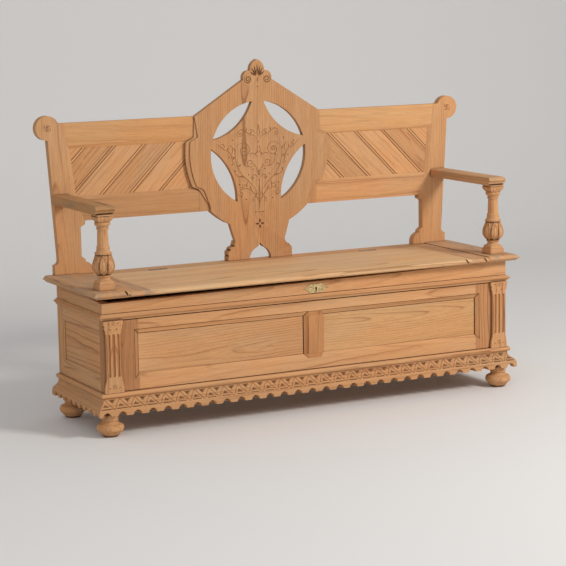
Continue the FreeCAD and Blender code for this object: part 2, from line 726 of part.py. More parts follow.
floor_width = (back_front - d.board - 2 * d.floor_gap) / 3
keep("chest_floor", gather("chest_floor_boards", [
    box(f"floor_board_{number}", (-inside_half, inside_half),
        (depth(d.board + (floor_width + d.floor_gap) * number),
         depth(d.board + (floor_width + d.floor_gap) * number + floor_width)),
        (d.carcass_underside, d.carcass_underside + d.floor_board))
    for number in range(3)]))

batten_half = half_length - d.block_width - d.floor_gap
keep("floor_battens", gather("floor_batten_group", [
    box(f"floor_batten_{number}", (-batten_half, batten_half), (depth(start), depth(start + d.batten_depth)),
        (d.carcass_underside - d.batten, d.carcass_underside))
    for number, start in enumerate((size(0), d.carcass_depth - d.batten_depth))]))


# Seat: two fixed ends and a fixed rear rail, with a moulded edge on the front and the outer ends.
def moulded_edge(edge, top, low):
    """The moulded edge of a seat board, from the top arris down; edge is where the chest's face is."""
    return [
        (edge + d.seat_arris, top),
        Arc(edge + d.seat_lip - 2, top - d.seat_lip_depth, 16, 1),
        (edge + d.seat_lip, top - d.seat_lip_depth),
        (edge + d.seat_lip, top - d.seat_lip_depth - d.seat_fillet),
        Arc(edge + d.seat_cove_reach, low + 1, 22, -1),
        (edge + d.seat_cove_reach, low),
    ]


def board_section(top, low, rear):
    """A seat board seen from the end: its moulded front edge and a square rear edge, as (y, z)."""
    front_edge = strip_outline(moulded_edge(size(0), top, low), -1, depth(0))
    return front_edge + [(depth(rear), low), (depth(rear), top)]


rear_edge = d.carcass_depth + d.rear_overhang
support_depth = depth(d.support_setback)
back_plane = depth(rear_edge - d.back_thickness)
back_rear = depth(rear_edge)
post_tenon_middle = (d.post_foot_outer + d.seat_end_joint) / 2


def post_tenon(name, side, gap=0):
    middle = post_tenon_middle
    return box(name, between(side, middle - d.post_tenon / 2 - gap, middle + d.post_tenon / 2 + gap),
               (back_plane + tenon_front - gap, back_plane + tenon_rear + gap),
               (d.seat_top - d.support_spigot_down - gap, d.seat_top))


for hand, side in SIDES:
    name = f"seat_end_{hand}"
    section = board_section(d.seat_top, d.chest_top, rear_edge)
    x = between(side, d.seat_end_joint, half_length + d.seat_lip)
    along = pad(name + "_length", "YZ_Plane", section, half_length + d.seat_lip - d.seat_end_joint, x=x[0])
    end_section = mirrored(side, [(d.seat_end_joint, d.seat_top)]
                           + moulded_edge(half_length, d.seat_top, d.chest_top)
                           + [(d.seat_end_joint, d.chest_top)])
    across = pad(name + "_end", "XZ_Plane", end_section, rear_edge + d.seat_lip, y=back_rear)
    sockets = [
        cylinder(name + "_spigot_hole", d.support_spigot_radius + d.joint_clearance,
                 d.support_spigot_down + 2, d.arm_centre * side, support_depth,
                 d.seat_top - d.support_spigot_down - 1),
        post_tenon(name + "_mortise", side, d.joint_clearance),
    ]
    keep(name, cut(name + "_cut", common(name + "_board", along, across), sockets))

lid_rear = rear_edge - d.rear_rail_depth - d.lid_gap
rail_front = rear_edge - d.rear_rail_depth
lid_half = d.seat_end_joint - d.lid_gap
lid_low = d.chest_top + d.lid_lift
hinge_axis_y = depth(rail_front - d.lid_gap / 2)
hinge_axis_z = d.lid_top
knuckle_length = d.hinge_length / d.knuckle_count


def hinge_span(side):
    return (d.hinge_place * side - d.hinge_length / 2, d.hinge_place * side + d.hinge_length / 2)


def hinge_housing(name, side, behind):
    """The housing cut in a board's edge for a leaf and its knuckles."""
    span = hinge_span(side)
    x = (span[0] - d.knuckle_gap, span[1] + d.knuckle_gap)
    way = 1 if behind else -1
    edge = depth(rail_front if behind else lid_rear)
    room = hinge_axis_y + (d.knuckle_radius + d.hinge_relief) * way
    leaf = edge + (d.leaf_thickness) * way
    y_leaf = (edge - 1, leaf) if behind else (leaf, edge + 1)
    y_room = (edge - 1, room) if behind else (room, edge + 1)
    return [box(name + "_leaf", x, y_leaf, (hinge_axis_z - d.leaf_height, hinge_axis_z + 1)),
            box(name + "_room", x, y_room,
                (hinge_axis_z - d.knuckle_radius - d.hinge_relief, hinge_axis_z + 1))]


def leaf_screws(name, side, behind, gap=0):
    """Three screws through a leaf into the board's edge."""
    span = hinge_span(side)
    spacing = d.hinge_length / 3
    edge = depth(rail_front if behind else lid_rear)
    way = "+y" if behind else "-y"
    return [screw(f"{name}_{number}", span[0] + spacing * (number + 0.5), edge,
                  hinge_axis_z - d.leaf_height * 0.62, way, gap) for number in range(3)]


splat_tenon_z = (d.lid_top - d.support_spigot_down, d.lid_top)


def splat_tenons(name, gap=0):
    inner = d.arch_half + d.tenon_shoulder
    outer = d.splat_foot - d.tenon_shoulder
    return [box(f"{name}_{hand}", between(side, inner - gap, outer + gap),
                (back_plane + tenon_front - gap, back_plane + tenon_rear + gap),
                (splat_tenon_z[0] - gap, splat_tenon_z[1] + 1))
            for hand, side in SIDES]


rail_board = box("seat_rear_rail_board", (-d.seat_end_joint, d.seat_end_joint),
                 (depth(rail_front), back_rear), (d.chest_top, d.lid_top))
rail_tools = splat_tenons("rail_mortise", d.joint_clearance)
for hand, side in SIDES:
    rail_tools += hinge_housing(f"rail_housing_{hand}", side, True)
    rail_tools += leaf_screws(f"rail_screw_hole_{hand}", side, True, d.screw_clearance)
keep("seat_rear_rail", cut("seat_rear_rail_cut", rail_board, rail_tools))

# Back: posts with round ears, rails, diagonal boards and the pierced splat.
rail_low_top = d.back_rail_low_top
rail_high = d.back_rail_high
rail_high_top = d.back_rail_high_top
post_outline = [
    (d.post_foot_inner, d.lid_top),
    (d.seat_end_joint, d.lid_top),
    (d.seat_end_joint, d.seat_top),
    (d.post_foot_outer, d.seat_top),
    (d.post_foot_outer, d.post_bracket_step),
    Arc(d.post_outer_low, d.post_bracket_top, d.post_foot_outer - d.post_outer_low + 1, 1),
    (d.post_outer_low, d.post_bracket_top + 12),
    (d.ear_centre_side, d.ear_centre_height - d.ear_radius),
    Arc(d.ear_centre_side + d.ear_radius, d.ear_centre_height, d.ear_radius, -1),
    Arc(d.ear_centre_side - d.ear_radius * math.cos(math.radians(25)),
        d.ear_centre_height + d.ear_radius * math.sin(math.radians(25)), d.ear_radius, -1),
    (d.post_joint_top + 20, rail_high_top),
    (d.post_joint_top, rail_high_top),
    (d.post_joint_low, rail_high + d.bevel_width + 4),
    (d.post_inner_top, rail_high),
    (d.post_inner_rail, rail_low_top),
    (d.post_inner_rail - 2, rail_low_top - 30),
    (d.post_knee, d.back_rail_low),
    (d.post_knee, d.back_rail_low - 13),
    (d.post_inner_low, d.post_knee_low),
    (d.post_inner_low, d.post_bracket_top + 12),
    (d.post_inner_low - 14, d.post_bracket_top + 1),
    (d.post_inner_low - 16, d.post_bracket_top - 8),
    Arc(d.post_foot_inner, d.post_bracket_top - 38, 34, -1),
]
panel_rear_gap = d.joint_clearance


def bevel_loft(name, side):
    """The space that bevels the edges round the diagonal boards."""
    flat = d.bevel_width
    inner_x = d.splat_core - 20
    inner = [(inner_x, rail_low_top), (d.post_inner_rail, rail_low_top), (d.post_inner_top, rail_high),
             (inner_x, rail_high)]
    outer = [(inner_x, rail_low_top - flat), (d.post_inner_rail + flat - 2, rail_low_top - flat),
             (d.post_inner_top + flat + 2, rail_high + flat), (inner_x, rail_high + flat)]
    sections = []
    for part_name, outline, y in (("face", outer, back_plane), ("inside", inner, back_plane + d.bevel_depth)):
        section = document.addObject("Sketcher::SketchObject", f"{name}_{part_name}")
        section.Placement = FreeCAD.Placement(
            FreeCAD.Vector(), FreeCAD.Rotation(FreeCAD.Vector(1, 0, 0), 90))
        draw(section, mirrored(side, outline))
        place(section, 0, y, 0)
        sections.append(section)
    loft = document.addObject("Part::Loft", name)
    loft.Sections = sections
    loft.Solid = True
    loft.Ruled = True
    return loft


def board_space(name, side, grow, gap):
    """The space of the diagonal boards, whose ends run into grooves round the opening."""
    outline = [(d.splat_core - grow, rail_low_top - grow), (d.post_inner_rail + grow, rail_low_top - grow),
               (d.post_inner_top + grow, rail_high + grow), (d.splat_core - grow, rail_high + grow)]
    return pad(name, "XZ_Plane", mirrored(side, outline), d.diagonal_board + 2 * gap,
               y=back_plane + d.bevel_depth + d.diagonal_board + gap)


def back_tenon(name, side, x, z, gap=0):
    return box(name, between(side, size(x[0]) - gap, size(x[1]) + gap),
               (back_plane + tenon_front - gap, back_plane + tenon_rear + gap), (z[0] - gap, z[1] + gap))


low_tenon_z = (d.back_rail_low + d.tenon_shoulder + 4, rail_low_top - 2 * d.tenon_shoulder)
high_tenon_z = (rail_high + 2 * d.tenon_shoulder, rail_high_top - d.tenon_shoulder)
splat_joint = d.splat_core - d.back_tenon / 2
low_joint = d.post_inner_rail + d.back_tenon
high_joint = d.post_joint_top + d.back_tenon / 2
board_pitch = d.board_width * math.sqrt(2)
arm_dowel_z = (d.arm_underside + d.arm_top) / 2


def arm_dowel(name, side, gap=0):
    return cylinder(name, d.arm_dowel_radius + gap, 2 * d.arm_dowel_length + gap,
                    d.arm_centre * side, back_plane - d.arm_dowel_length, arm_dowel_z, axis="y")


for hand, side in SIDES:
    gap = d.joint_clearance
    name = f"back_post_{hand}"
    board = pad(name + "_board", "XZ_Plane", mirrored(side, post_outline), d.back_thickness, y=back_rear)
    tools = [bevel_loft(name + "_bevel", side), board_space(name + "_groove", side, d.groove_depth, gap),
             back_tenon(name + "_low_mortise", side, (d.post_knee, low_joint), low_tenon_z, gap),
             back_tenon(name + "_high_mortise", side, (d.post_inner_top, high_joint), high_tenon_z, gap),
             arm_dowel(name + "_dowel_hole", side, gap)]
    keep(name, cut(name + "_cut", fuse(name + "_blank", [board, post_tenon(name + "_tenon", side)]), tools))

    name = f"back_top_rail_{hand}"
    outline = [(d.splat_core, rail_high), (d.post_inner_top, rail_high),
               (d.post_joint_low, rail_high + d.bevel_width + 4), (d.post_joint_top, rail_high_top),
               (d.splat_core, rail_high_top)]
    board = pad(name + "_board", "XZ_Plane", mirrored(side, outline), d.back_thickness, y=back_rear)
    tenon = back_tenon(name + "_tenon", side, (splat_joint, high_joint), high_tenon_z)
    tools = [bevel_loft(name + "_bevel", side), board_space(name + "_groove", side, d.groove_depth, gap)]
    keep(name, cut(name + "_cut", fuse(name + "_blank", [board, tenon]), tools))

    name = f"back_bottom_rail_{hand}"
    outline = [(d.splat_core, d.back_rail_low), (d.post_knee, d.back_rail_low),
               (d.post_inner_rail - 2, rail_low_top - 30), (d.post_inner_rail, rail_low_top),
               (d.splat_core, rail_low_top)]
    board = pad(name + "_board", "XZ_Plane", mirrored(side, outline), d.back_thickness, y=back_rear)
    tenon = back_tenon(name + "_tenon", side, (splat_joint, low_joint), low_tenon_z)
    tools = [bevel_loft(name + "_bevel", side), board_space(name + "_groove", side, d.groove_depth, gap)]
    keep(name, cut(name + "_cut", fuse(name + "_blank", [board, tenon]), tools))

    # tongued boards at 45 degrees, each with a bead and a groove along its face
    name = f"diagonal_boards_{hand}"
    start = d.board_start_left if side < 0 else d.board_start_right
    thickness = d.diagonal_board
    groove = d.board_groove
    width = d.board_width
    face = [(groove, 0), (thickness, 0), (thickness, width), (groove, width), (0, width - groove),
            (0, d.board_bead + groove), (groove, d.board_bead), (0, d.board_bead - groove), (0, groove)]
    if side < 0:
        face = [(thickness - point[0], point[1]) for point in face]
    space = board_space(name + "_space", side, d.groove_depth - 1, size(0))
    reach = d.post_inner_top - d.splat_core
    boards = []
    for number in range(-2, 5):
        board = pad(f"{name}_{number + 3}", "YZ_Plane", face, reach)
        turned = FreeCAD.Rotation(FreeCAD.Vector(0, 1, 0), 45)
        if side < 0:
            turned = FreeCAD.Rotation(FreeCAD.Vector(0, 0, 1), 180) * turned
        board.Placement = FreeCAD.Placement(FreeCAD.Vector(), turned)
        rear_of_board = back_plane + d.bevel_depth + (thickness if side < 0 else 0)
        place(board, (start + board_pitch * number - 30) * side, rear_of_board, rail_high + 30)
        boards.append(common(f"{name}_{number + 3}_cut", board, space))
    keep(name, gather(name + "_group", boards))


ring_corner = math.sin(math.radians(45))


def splat_foot(base):
    """The splat's lower right edge, from its foot up to the ring."""
    return [
        (d.arch_half, base),
        (d.splat_foot, base),
        (d.splat_foot, base + 27),
        Arc(d.splat_neck + 7, d.splat_foot_height, 28, -1),
        Arc(d.splat_neck, d.splat_foot_height + 27, 22, 1),
        (d.splat_shoulder - 3, d.splat_shoulder_height - 13),
        (d.splat_shoulder, d.splat_shoulder_height),
        Arc(d.ring_edge * ring_corner, d.ring_centre - d.ring_edge * ring_corner, d.ring_edge, -1),
    ]


rim_low, rim_high = math.radians(-21), math.radians(11)


def rim_side(inset=0):
    """The bulge of the ring between the rails, or a line inside it by an inset."""
    return [
        (d.ring_edge * ring_corner, d.ring_centre - d.ring_edge * ring_corner + 16),
        (d.splat_core - 4 - inset, rail_low_top - 13),
        (d.splat_core + 3 - inset, rail_low_top - 5),
        (d.ring_rim * math.cos(rim_low) - 9 - inset, d.ring_centre + d.ring_rim * math.sin(rim_low)),
        Arc(d.ring_rim * math.cos(rim_high) - 1 - inset, d.ring_centre + d.ring_rim * math.sin(rim_high),
            d.ring_rim, -1),
        (d.eaves_half + 4 - inset, d.flare_height),
    ]


core_side = [(d.splat_core, d.back_rail_low), (d.splat_core, rail_high_top)]
gable_side = [
    (d.eaves_half, rail_high_top),
    (d.gable_half, d.gable_height),
    Arc(d.finial_notch, d.volute_height, d.volute_radius, -1),
    Arc(d.finial_tip, d.finial_height, d.finial_bow, -1),
]


def whole_outline(half, top_radius):
    """An outline made of a right half and its mirror image, closed by an arc over the top."""
    left = []
    for index in range(len(half) - 1, -1, -1):
        here = half[index]
        x, z = (here.x, here.y) if isinstance(here, Arc) else (size(here[0]), here[1])
        after = half[index + 1] if index + 1 < len(half) else None
        if after is None:
            left.append(Arc(-x, z, top_radius, -1))
        elif isinstance(after, Arc):
            left.append(Arc(-x, z, after.radius, after.side))
        else:
            left.append((-x, z))
    arch = [(-d.arch_half, d.arch_spring), Arc(0, d.arch_top, 46, 1), Arc(d.arch_half, d.arch_spring, 46, 1)]
    return half + left + arch


splat_front = pad("splat_front", "XZ_Plane",
                  whole_outline(splat_foot(d.lid_top) + rim_side(d.rim_width) + gable_side, d.finial_radius),
                  d.splat_proud, y=back_plane)
splat_rim = pad("splat_rim", "XZ_Plane",
                whole_outline(splat_foot(d.lid_top) + rim_side() + gable_side, d.finial_radius),
                d.splat_proud - d.rim_step, y=back_plane)
splat_core = pad("splat_core", "XZ_Plane",
                 whole_outline(splat_foot(d.lid_top) + core_side + gable_side, d.finial_radius),
                 d.back_thickness, y=back_rear)
star_reach = d.ring_radius + 7
star_outline = [
    (d.star_waist, d.ring_centre - star_reach),
    Arc(star_reach, d.star_side_low, d.star_lower_bow, 1),
    (star_reach, d.star_side_high),
    Arc(d.star_tip, d.ring_centre + star_reach - 3, d.star_upper_bow, 1),
    (d.star_tip, d.ring_centre + star_reach + 3),
    (-d.star_tip, d.ring_centre + star_reach + 3),
    (-d.star_tip, d.ring_centre + star_reach - 3),
    Arc(-star_reach, d.star_side_high, d.star_upper_bow, 1),
    (-star_reach, d.star_side_low),
    Arc(-d.star_waist, d.ring_centre - star_reach, d.star_lower_bow, 1),
]
star = pad("splat_star", "XZ_Plane", star_outline, d.back_thickness + 3 * d.splat_proud,
           y=back_rear + d.splat_proud)
ring = cylinder("splat_ring", d.ring_radius, d.back_thickness + 2 * d.splat_proud, 0,
                back_plane - 1.5 * d.splat_proud, d.ring_centre, axis="y")
splat_tools = [cut("splat_openings", ring, [star])]

# Behind the ring, the gable, the waist and the arch only the front board is left, so that the edges
# of the openings look as thin as that board.
recess = (back_plane - d.splat_proud + d.splat_board, back_rear + 1)
ring_recess = cylinder("splat_ring_recess", d.ring_radius + d.recess_margin, recess[1] - recess[0], 0,
                       recess[0], d.ring_centre, axis="y")
gable_recess = box("splat_gable_recess", (-d.eaves_half - 1, d.eaves_half + 1), recess,
                   (rail_high_top, d.finial_height + d.finial_radius))
waist_recess = box("splat_waist_recess", (-d.splat_foot, d.splat_foot), recess,
                   (d.splat_foot_height + 20, d.back_rail_low))
arch_recess = box("splat_arch_recess", (-d.arch_half - d.recess_margin, d.arch_half + d.recess_margin), recess,
                  (d.lid_top, d.arch_top + d.recess_margin))
splat_tools += [ring_recess, gable_recess, waist_recess, arch_recess]
for hand, side in SIDES:
    splat_tools.append(board_space(f"splat_groove_{hand}", side, d.groove_depth, d.joint_clearance))
    for level, z in (("low", low_tenon_z), ("high", high_tenon_z)):
        splat_tools.append(back_tenon(f"splat_{level}_mortise_{hand}", side,
                                      (splat_joint, d.splat_core + 1), z, d.joint_clearance))
keep("back_splat", cut("back_splat_cut",
                       fuse("splat_blank", [splat_front, splat_rim, splat_core] + splat_tenons("splat_tenon")),
                       splat_tools))

# Arms and their turned supports.
arm_depths = (depth(d.arm_front), back_plane)
arm_section = [
    (arm_depths[0] + d.arm_lip + 6, d.arm_underside),
    (arm_depths[1], d.arm_underside),
    (arm_depths[1], d.arm_top),
    (arm_depths[0] + d.arm_lip + 8, d.arm_top),
    Arc(arm_depths[0] + 2, d.arm_top - 9, 20, -1),
    (arm_depths[0], d.arm_top - 11),
    (arm_depths[0], d.arm_top - 13),
    Arc(arm_depths[0] + d.arm_lip, d.arm_underside + 5, 16, 1),
    (arm_depths[0] + d.arm_lip + 6, d.arm_underside + 4),
]
support_outline = [
    (0, d.seat_top - d.support_spigot_down),
    (d.support_spigot_radius, d.seat_top - d.support_spigot_down),
    (d.support_spigot_radius, d.seat_top),
    (d.support_base / 2 - 3, d.seat_top),
    (d.support_base / 2 - 3, d.support_base_top),
    Arc(d.support_neck_radius, d.support_neck_height, 24, 1),
    (d.support_neck_radius + 4, d.support_neck_height + 4),
    (d.support_neck_radius, d.bulb_foot_height - 1),
    (d.bulb_foot_radius, d.bulb_foot_height),
    Arc(d.bulb_radius, d.bulb_height, 30, -1),
    Arc(d.bulb_foot_radius, d.collar_height - 2, 60, -1),
    (d.collar_radius, d.collar_height),
    (d.collar_radius, d.collar_height + d.collar_step),
    Arc(d.shaft_low_radius, d.shaft_low_height, 16, 1),
    (d.shaft_high_radius, d.shaft_high_height),
    (d.shaft_high_radius + 4, d.shaft_high_height + 4),
    (d.shaft_high_radius + 2, d.capital_ring_height - 4),
    Arc(d.capital_ring_radius, d.capital_ring_height + 4, 14, 1),
    (d.capital_ring_radius, d.capital_low),
    (d.support_spigot_radius, d.capital_low),
    (d.support_spigot_radius, d.arm_underside + d.support_spigot_up),
    (0, d.arm_underside + d.support_spigot_up),
]


def square_block(name, side, width, z):
    return box(name, (d.arm_centre * side - width / 2, d.arm_centre * side + width / 2),
               (support_depth - width / 2, support_depth + width / 2), z)


for hand, side in SIDES:
    name = f"arm_{hand}"
    x = between(side, d.arm_centre - d.arm_width / 2, d.arm_centre + d.arm_width / 2)
    along = pad(name + "_length", "YZ_Plane", arm_section, d.arm_width, x=x[0])
    across = pad(name + "_section", "XZ_Plane", [
        (x[0], d.arm_underside), (x[1], d.arm_underside), (x[1], d.arm_top - d.arm_round),
        Arc(x[1] - d.arm_round, d.arm_top, d.arm_round, -1), (x[0] + d.arm_round, d.arm_top),
        Arc(x[0], d.arm_top - d.arm_round, d.arm_round, -1)],
        arm_depths[1] - arm_depths[0] + 2, y=arm_depths[1])
    blank = fuse(name + "_blank", [common(name + "_board", along, across), arm_dowel(name + "_dowel", side)])
    hole = cylinder(name + "_hole", d.support_spigot_radius + d.joint_clearance, d.support_spigot_up + 2,
                    d.arm_centre * side, support_depth, d.arm_underside - 1)
    keep(name, cut(name + "_cut", blank, [hole]))

    name = f"arm_support_{hand}"
    turning = turn(name + "_turning", support_outline, d.arm_centre * side, support_depth)
    keep(name, fuse(name + "_blank", [
        turning,
        square_block(name + "_base", side, d.support_base, (d.seat_top, d.support_base_top)),
        square_block(name + "_capital", side, d.capital_size, (d.capital_low, d.arm_underside)),
    ]))

# Lid: two boards along the bench, held flat by a cleat across each end.
board_half = lid_half - d.cleat_width
staple_x = (d.lock_place - d.staple_thickness, d.lock_place)
staple_y = (depth(d.bolt_depth) - d.staple_width / 2, depth(d.bolt_depth) + d.staple_width / 2)
staple_plate_x = (d.lock_place - d.staple_plate / 2, d.lock_place + d.staple_plate / 2)
staple_plate_y = (staple_y[0] - 3, staple_y[1] + 3)
staple_screw_x = (staple_plate_x[0] + 8, staple_plate_x[1] - 8)


def staple_screws(name, gap=0):
    return [screw(f"{name}_{number}", x, depth(d.bolt_depth), lid_low, "+z", gap)
            for number, x in enumerate(staple_screw_x)]


front_section = board_section(d.lid_top, lid_low, d.lid_split)
plate_bed = box("staple_plate_bed", (staple_plate_x[0] - 0.2, staple_plate_x[1] + 0.2),
                (staple_plate_y[0] - 0.2, staple_plate_y[1] + 0.2), (lid_low - 1, lid_low + d.leaf_thickness))
keep("lid_board_front", cut("lid_board_front_cut", pad(
    "lid_board_front_blank", "YZ_Plane", front_section, 2 * board_half, x=-board_half),
    [plate_bed] + staple_screws("staple_screw_hole", d.screw_clearance)))

rear_board = box("lid_board_rear_board", (-board_half, board_half), (depth(d.lid_split), depth(lid_rear)),
                 (lid_low, d.lid_top))
lid_tools = []
for hand, side in SIDES:
    lid_tools += hinge_housing(f"lid_housing_{hand}", side, False)
    lid_tools += leaf_screws(f"lid_screw_hole_{hand}", side, False, d.screw_clearance)
keep("lid_board_rear", cut("lid_board_rear_cut", rear_board, lid_tools))

cleat_section = board_section(d.lid_top, lid_low, lid_rear)
for hand, side in SIDES:
    x = between(side, board_half, lid_half)
    keep(f"lid_cleat_{hand}",
         pad(f"lid_cleat_{hand}_board", "YZ_Plane", cleat_section, d.cleat_width, x=x[0]))


# Hinges: butt hinges in the joint behind the lid; their knuckles lie in line with the seat's top.
def leaf(name, side, behind):
    """One leaf with its own knuckles, every other one along the pin."""
    span = hinge_span(side)
    edge = depth(rail_front if behind else lid_rear)
    y = (edge, edge + d.leaf_thickness) if behind else (edge - d.leaf_thickness, edge)
    relief = hinge_axis_z - d.knuckle_radius - d.hinge_relief / 2
    plates = [box(name + "_plate", span, y, (hinge_axis_z - d.leaf_height, relief))]
    first = 0 if behind else 1
    for number in range(first, round(d.knuckle_count.value), 2):
        x = (span[0] + knuckle_length * number + d.knuckle_gap / 2,
             span[0] + knuckle_length * (number + 1) - d.knuckle_gap / 2)
        plates.append(box(f"{name}_tab_{number}", x, y, (relief - 1, hinge_axis_z)))
        plates.append(cylinder(f"{name}_knuckle_{number}", d.knuckle_radius, x[1] - x[0],
                               x[0], hinge_axis_y, hinge_axis_z, axis="x"))
    bore = cylinder(name + "_bore", d.pin_radius + d.pin_clearance, d.hinge_length + 2,
                    span[0] - 1, hinge_axis_y, hinge_axis_z, axis="x")
    holes = leaf_screws(name + "_hole", side, behind, d.screw_clearance)
    return cut(name, fuse(name + "_blank", plates), [bore] + holes)


keep("hinge_fixed_leaves", gather("fixed_leaves", [leaf(f"fixed_leaf_{h}", s, True) for h, s in SIDES]))
keep("hinge_lid_leaves", gather("lid_leaves", [leaf(f"lid_leaf_{h}", s, False) for h, s in SIDES]))
keep("hinge_pins", gather("pins", [
    cylinder(f"pin_{hand}", d.pin_radius, d.hinge_length,
             hinge_span(side)[0], hinge_axis_y, hinge_axis_z, axis="x")
    for hand, side in SIDES]))

# Lock: a case behind the frieze, its sliding bolt, the staple under the lid and the keyhole plate.
wall = d.leaf_thickness
case_half = d.lock_width / 2
case_x = (d.lock_place - case_half, d.lock_place + case_half)
case_y = (depth(d.board), depth(d.board + d.lock_depth))
bolt_z = (d.bolt_level - d.bolt_height / 2, d.bolt_level + d.bolt_height / 2)
bolt_y = (depth(d.bolt_depth) - d.bolt_thickness / 2, depth(d.bolt_depth) + d.bolt_thickness / 2)
flange_half = case_half + d.lock_flange
case_screw_points = [(d.lock_place + (flange_half - d.lock_flange / 2) * side, z)
                     for side in (-1, 1) for z in (d.lock_low + 10, d.lock_high - 14)]


def case_screws(name, gap=0):
    return [screw(f"{name}_{number}", x, case_y[0] + wall, z, "-y", gap)
            for number, (x, z) in enumerate(case_screw_points)]


case_shell = fuse("case_shell", [
    box("case_body", case_x, case_y, (d.lock_low, d.lock_high)),
    box("case_flange", (d.lock_place - flange_half, d.lock_place + flange_half),
        (case_y[0], case_y[0] + wall), (d.lock_low, d.lock_high - 6))])
case_inside = box("case_inside", (case_x[0] + wall, case_x[1] - wall), (case_y[0] - 1, case_y[1] - wall),
                  (d.lock_low + wall, d.lock_high - wall))
staple_slot = box("staple_slot", (staple_x[0] - 1.5, staple_x[1] + 1.5),
                  (case_y[0] + 1, case_y[1] - 2 * wall), (d.lock_high - wall - 1, d.lock_high + 1))
hollow_case = cut("hollow_case", case_shell,
                  [case_inside, staple_slot] + case_screws("case_hole", d.screw_clearance))
shelf_top = bolt_z[0] - d.joint_clearance
bolt_shelf = box("bolt_shelf", (case_x[0] + wall - 0.5, staple_x[0] - 2),
                 (bolt_y[0] - 2, case_y[1] - wall + 0.5), (shelf_top - 3, shelf_top))
bolt_cover = box("bolt_cover", (case_x[0] + wall - 0.5, staple_x[0] - 2),
                 (bolt_y[0] - 2, case_y[1] - wall + 0.5),
                 (bolt_z[1] + d.joint_clearance, bolt_z[1] + d.joint_clearance + 3))
keep("lock_case", fuse("lock_case_shell", [hollow_case, bolt_shelf, bolt_cover]))

bolt_end = d.lock_place + d.bolt_end
keep("lock_bolt", box("lock_bolt_bar", (bolt_end - d.bolt_width, bolt_end), bolt_y, bolt_z))

staple_blank = fuse("staple_blank", [
    box("staple_plate_box", staple_plate_x, staple_plate_y, (lid_low, lid_low + wall)),
    box("staple_tongue", staple_x, staple_y, (lid_low - d.staple_drop, lid_low + wall / 2))])
staple_eye = box("staple_eye", (staple_x[0] - 1, staple_x[1] + 1),
                 (depth(d.bolt_depth) - d.staple_eye_width / 2, depth(d.bolt_depth) + d.staple_eye_width / 2),
                 (d.bolt_level - d.staple_eye_height / 2, d.bolt_level + d.staple_eye_height / 2))
keep("lock_staple", cut("lock_staple_cut", staple_blank,
                        [staple_eye] + staple_screws("staple_hole", d.screw_clearance)))


def keyhole(name, y, length):
    round_hole = cylinder(name + "_round", d.keyhole_radius, length, d.lock_place, y, d.plate_level, axis="y")
    slot = box(name + "_slot", (d.lock_place - d.keyhole_radius / 2, d.lock_place + d.keyhole_radius / 2),
               (y, y + length), (d.plate_level - d.keyhole_drop, d.plate_level))
    return [round_hole, slot]


keep("frieze_board", cut("frieze_cut", frieze, keyhole("frieze_keyhole", depth(-1), d.board + 2)
                         + case_screws("case_screw_hole", d.screw_clearance)))

half_plate = d.plate_width / 2
plate_rise = d.plate_height / 2
plate_outline = [
    (d.lock_place - half_plate, d.plate_level),
    Arc(d.lock_place - half_plate * 0.62, d.plate_level - plate_rise * 0.55, 30, 1),
    Arc(d.lock_place - half_plate * 0.2, d.plate_level - plate_rise, 16, -1),
    (d.lock_place + half_plate * 0.2, d.plate_level - plate_rise),
    Arc(d.lock_place + half_plate * 0.62, d.plate_level - plate_rise * 0.55, 16, -1),
    Arc(d.lock_place + half_plate, d.plate_level, 30, 1),
    Arc(d.lock_place + half_plate * 0.62, d.plate_level + plate_rise * 0.55, 30, 1),
    Arc(d.lock_place + half_plate * 0.2, d.plate_level + plate_rise, 16, -1),
    (d.lock_place - half_plate * 0.2, d.plate_level + plate_rise),
    Arc(d.lock_place - half_plate * 0.62, d.plate_level + plate_rise * 0.55, 16, -1),
    Arc(d.lock_place - half_plate, d.plate_level, 30, 1),
]
plate = pad("escutcheon_plate", "XZ_Plane", plate_outline[:-1], wall, y=depth(0))
keep("escutcheon", cut("escutcheon_cut", plate, keyhole("plate_keyhole", depth(-3), 4)))

keep("carcass_screws", gather("carcass_screw_group", case_screws("case_screw") + [
    item for hand, side in SIDES for item in leaf_screws(f"rail_screw_{hand}", side, True)]))
keep("lid_screws", gather("lid_screw_group", staple_screws("staple_screw") + [
    item for hand, side in SIDES for item in leaf_screws(f"lid_screw_{hand}", side, False)]))

document.recompute()

faults = [f"{item.Label}: {item.State}" for item in document.Objects
          if "Invalid" in item.State or "Error" in item.State]
for label, item in parts.items():
    shape = item.Shape
    if shape.isNull() or not shape.isValid() or not shape.Solids:
        faults.append(f"{label}: no valid solid")
if faults:
    raise SystemExit("\n".join(faults))

os.makedirs("parts", exist_ok=True)
whole = FreeCAD.BoundBox()
for label, item in parts.items():
    item.Shape.exportStep(f"parts/{label}.step")
    whole.add(item.Shape.BoundBox)
print(f"{len(parts)} pieces, {sum(len(item.Shape.Solids) for item in parts.values())} solids")
print(f"box X {whole.XMin:.1f}..{whole.XMax:.1f}")
print(f"box Y {whole.YMin:.1f}..{whole.YMax:.1f}")
print(f"box Z {whole.ZMin:.1f}..{whole.ZMax:.1f}")
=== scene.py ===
# %% [markdown]
# # A settle bench in stripped wood
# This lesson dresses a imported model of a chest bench: a framed chest on turned feet, a hinged seat,
# arms on turned supports and a carved, pierced back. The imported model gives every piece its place
# and its size, so nothing here has to be fitted. All lengths are in metres, Z is up and the front
# looks towards -Y.

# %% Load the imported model
import json
import math
import random
import bmesh
import bpy
from mathutils import Euler, Matrix, Vector

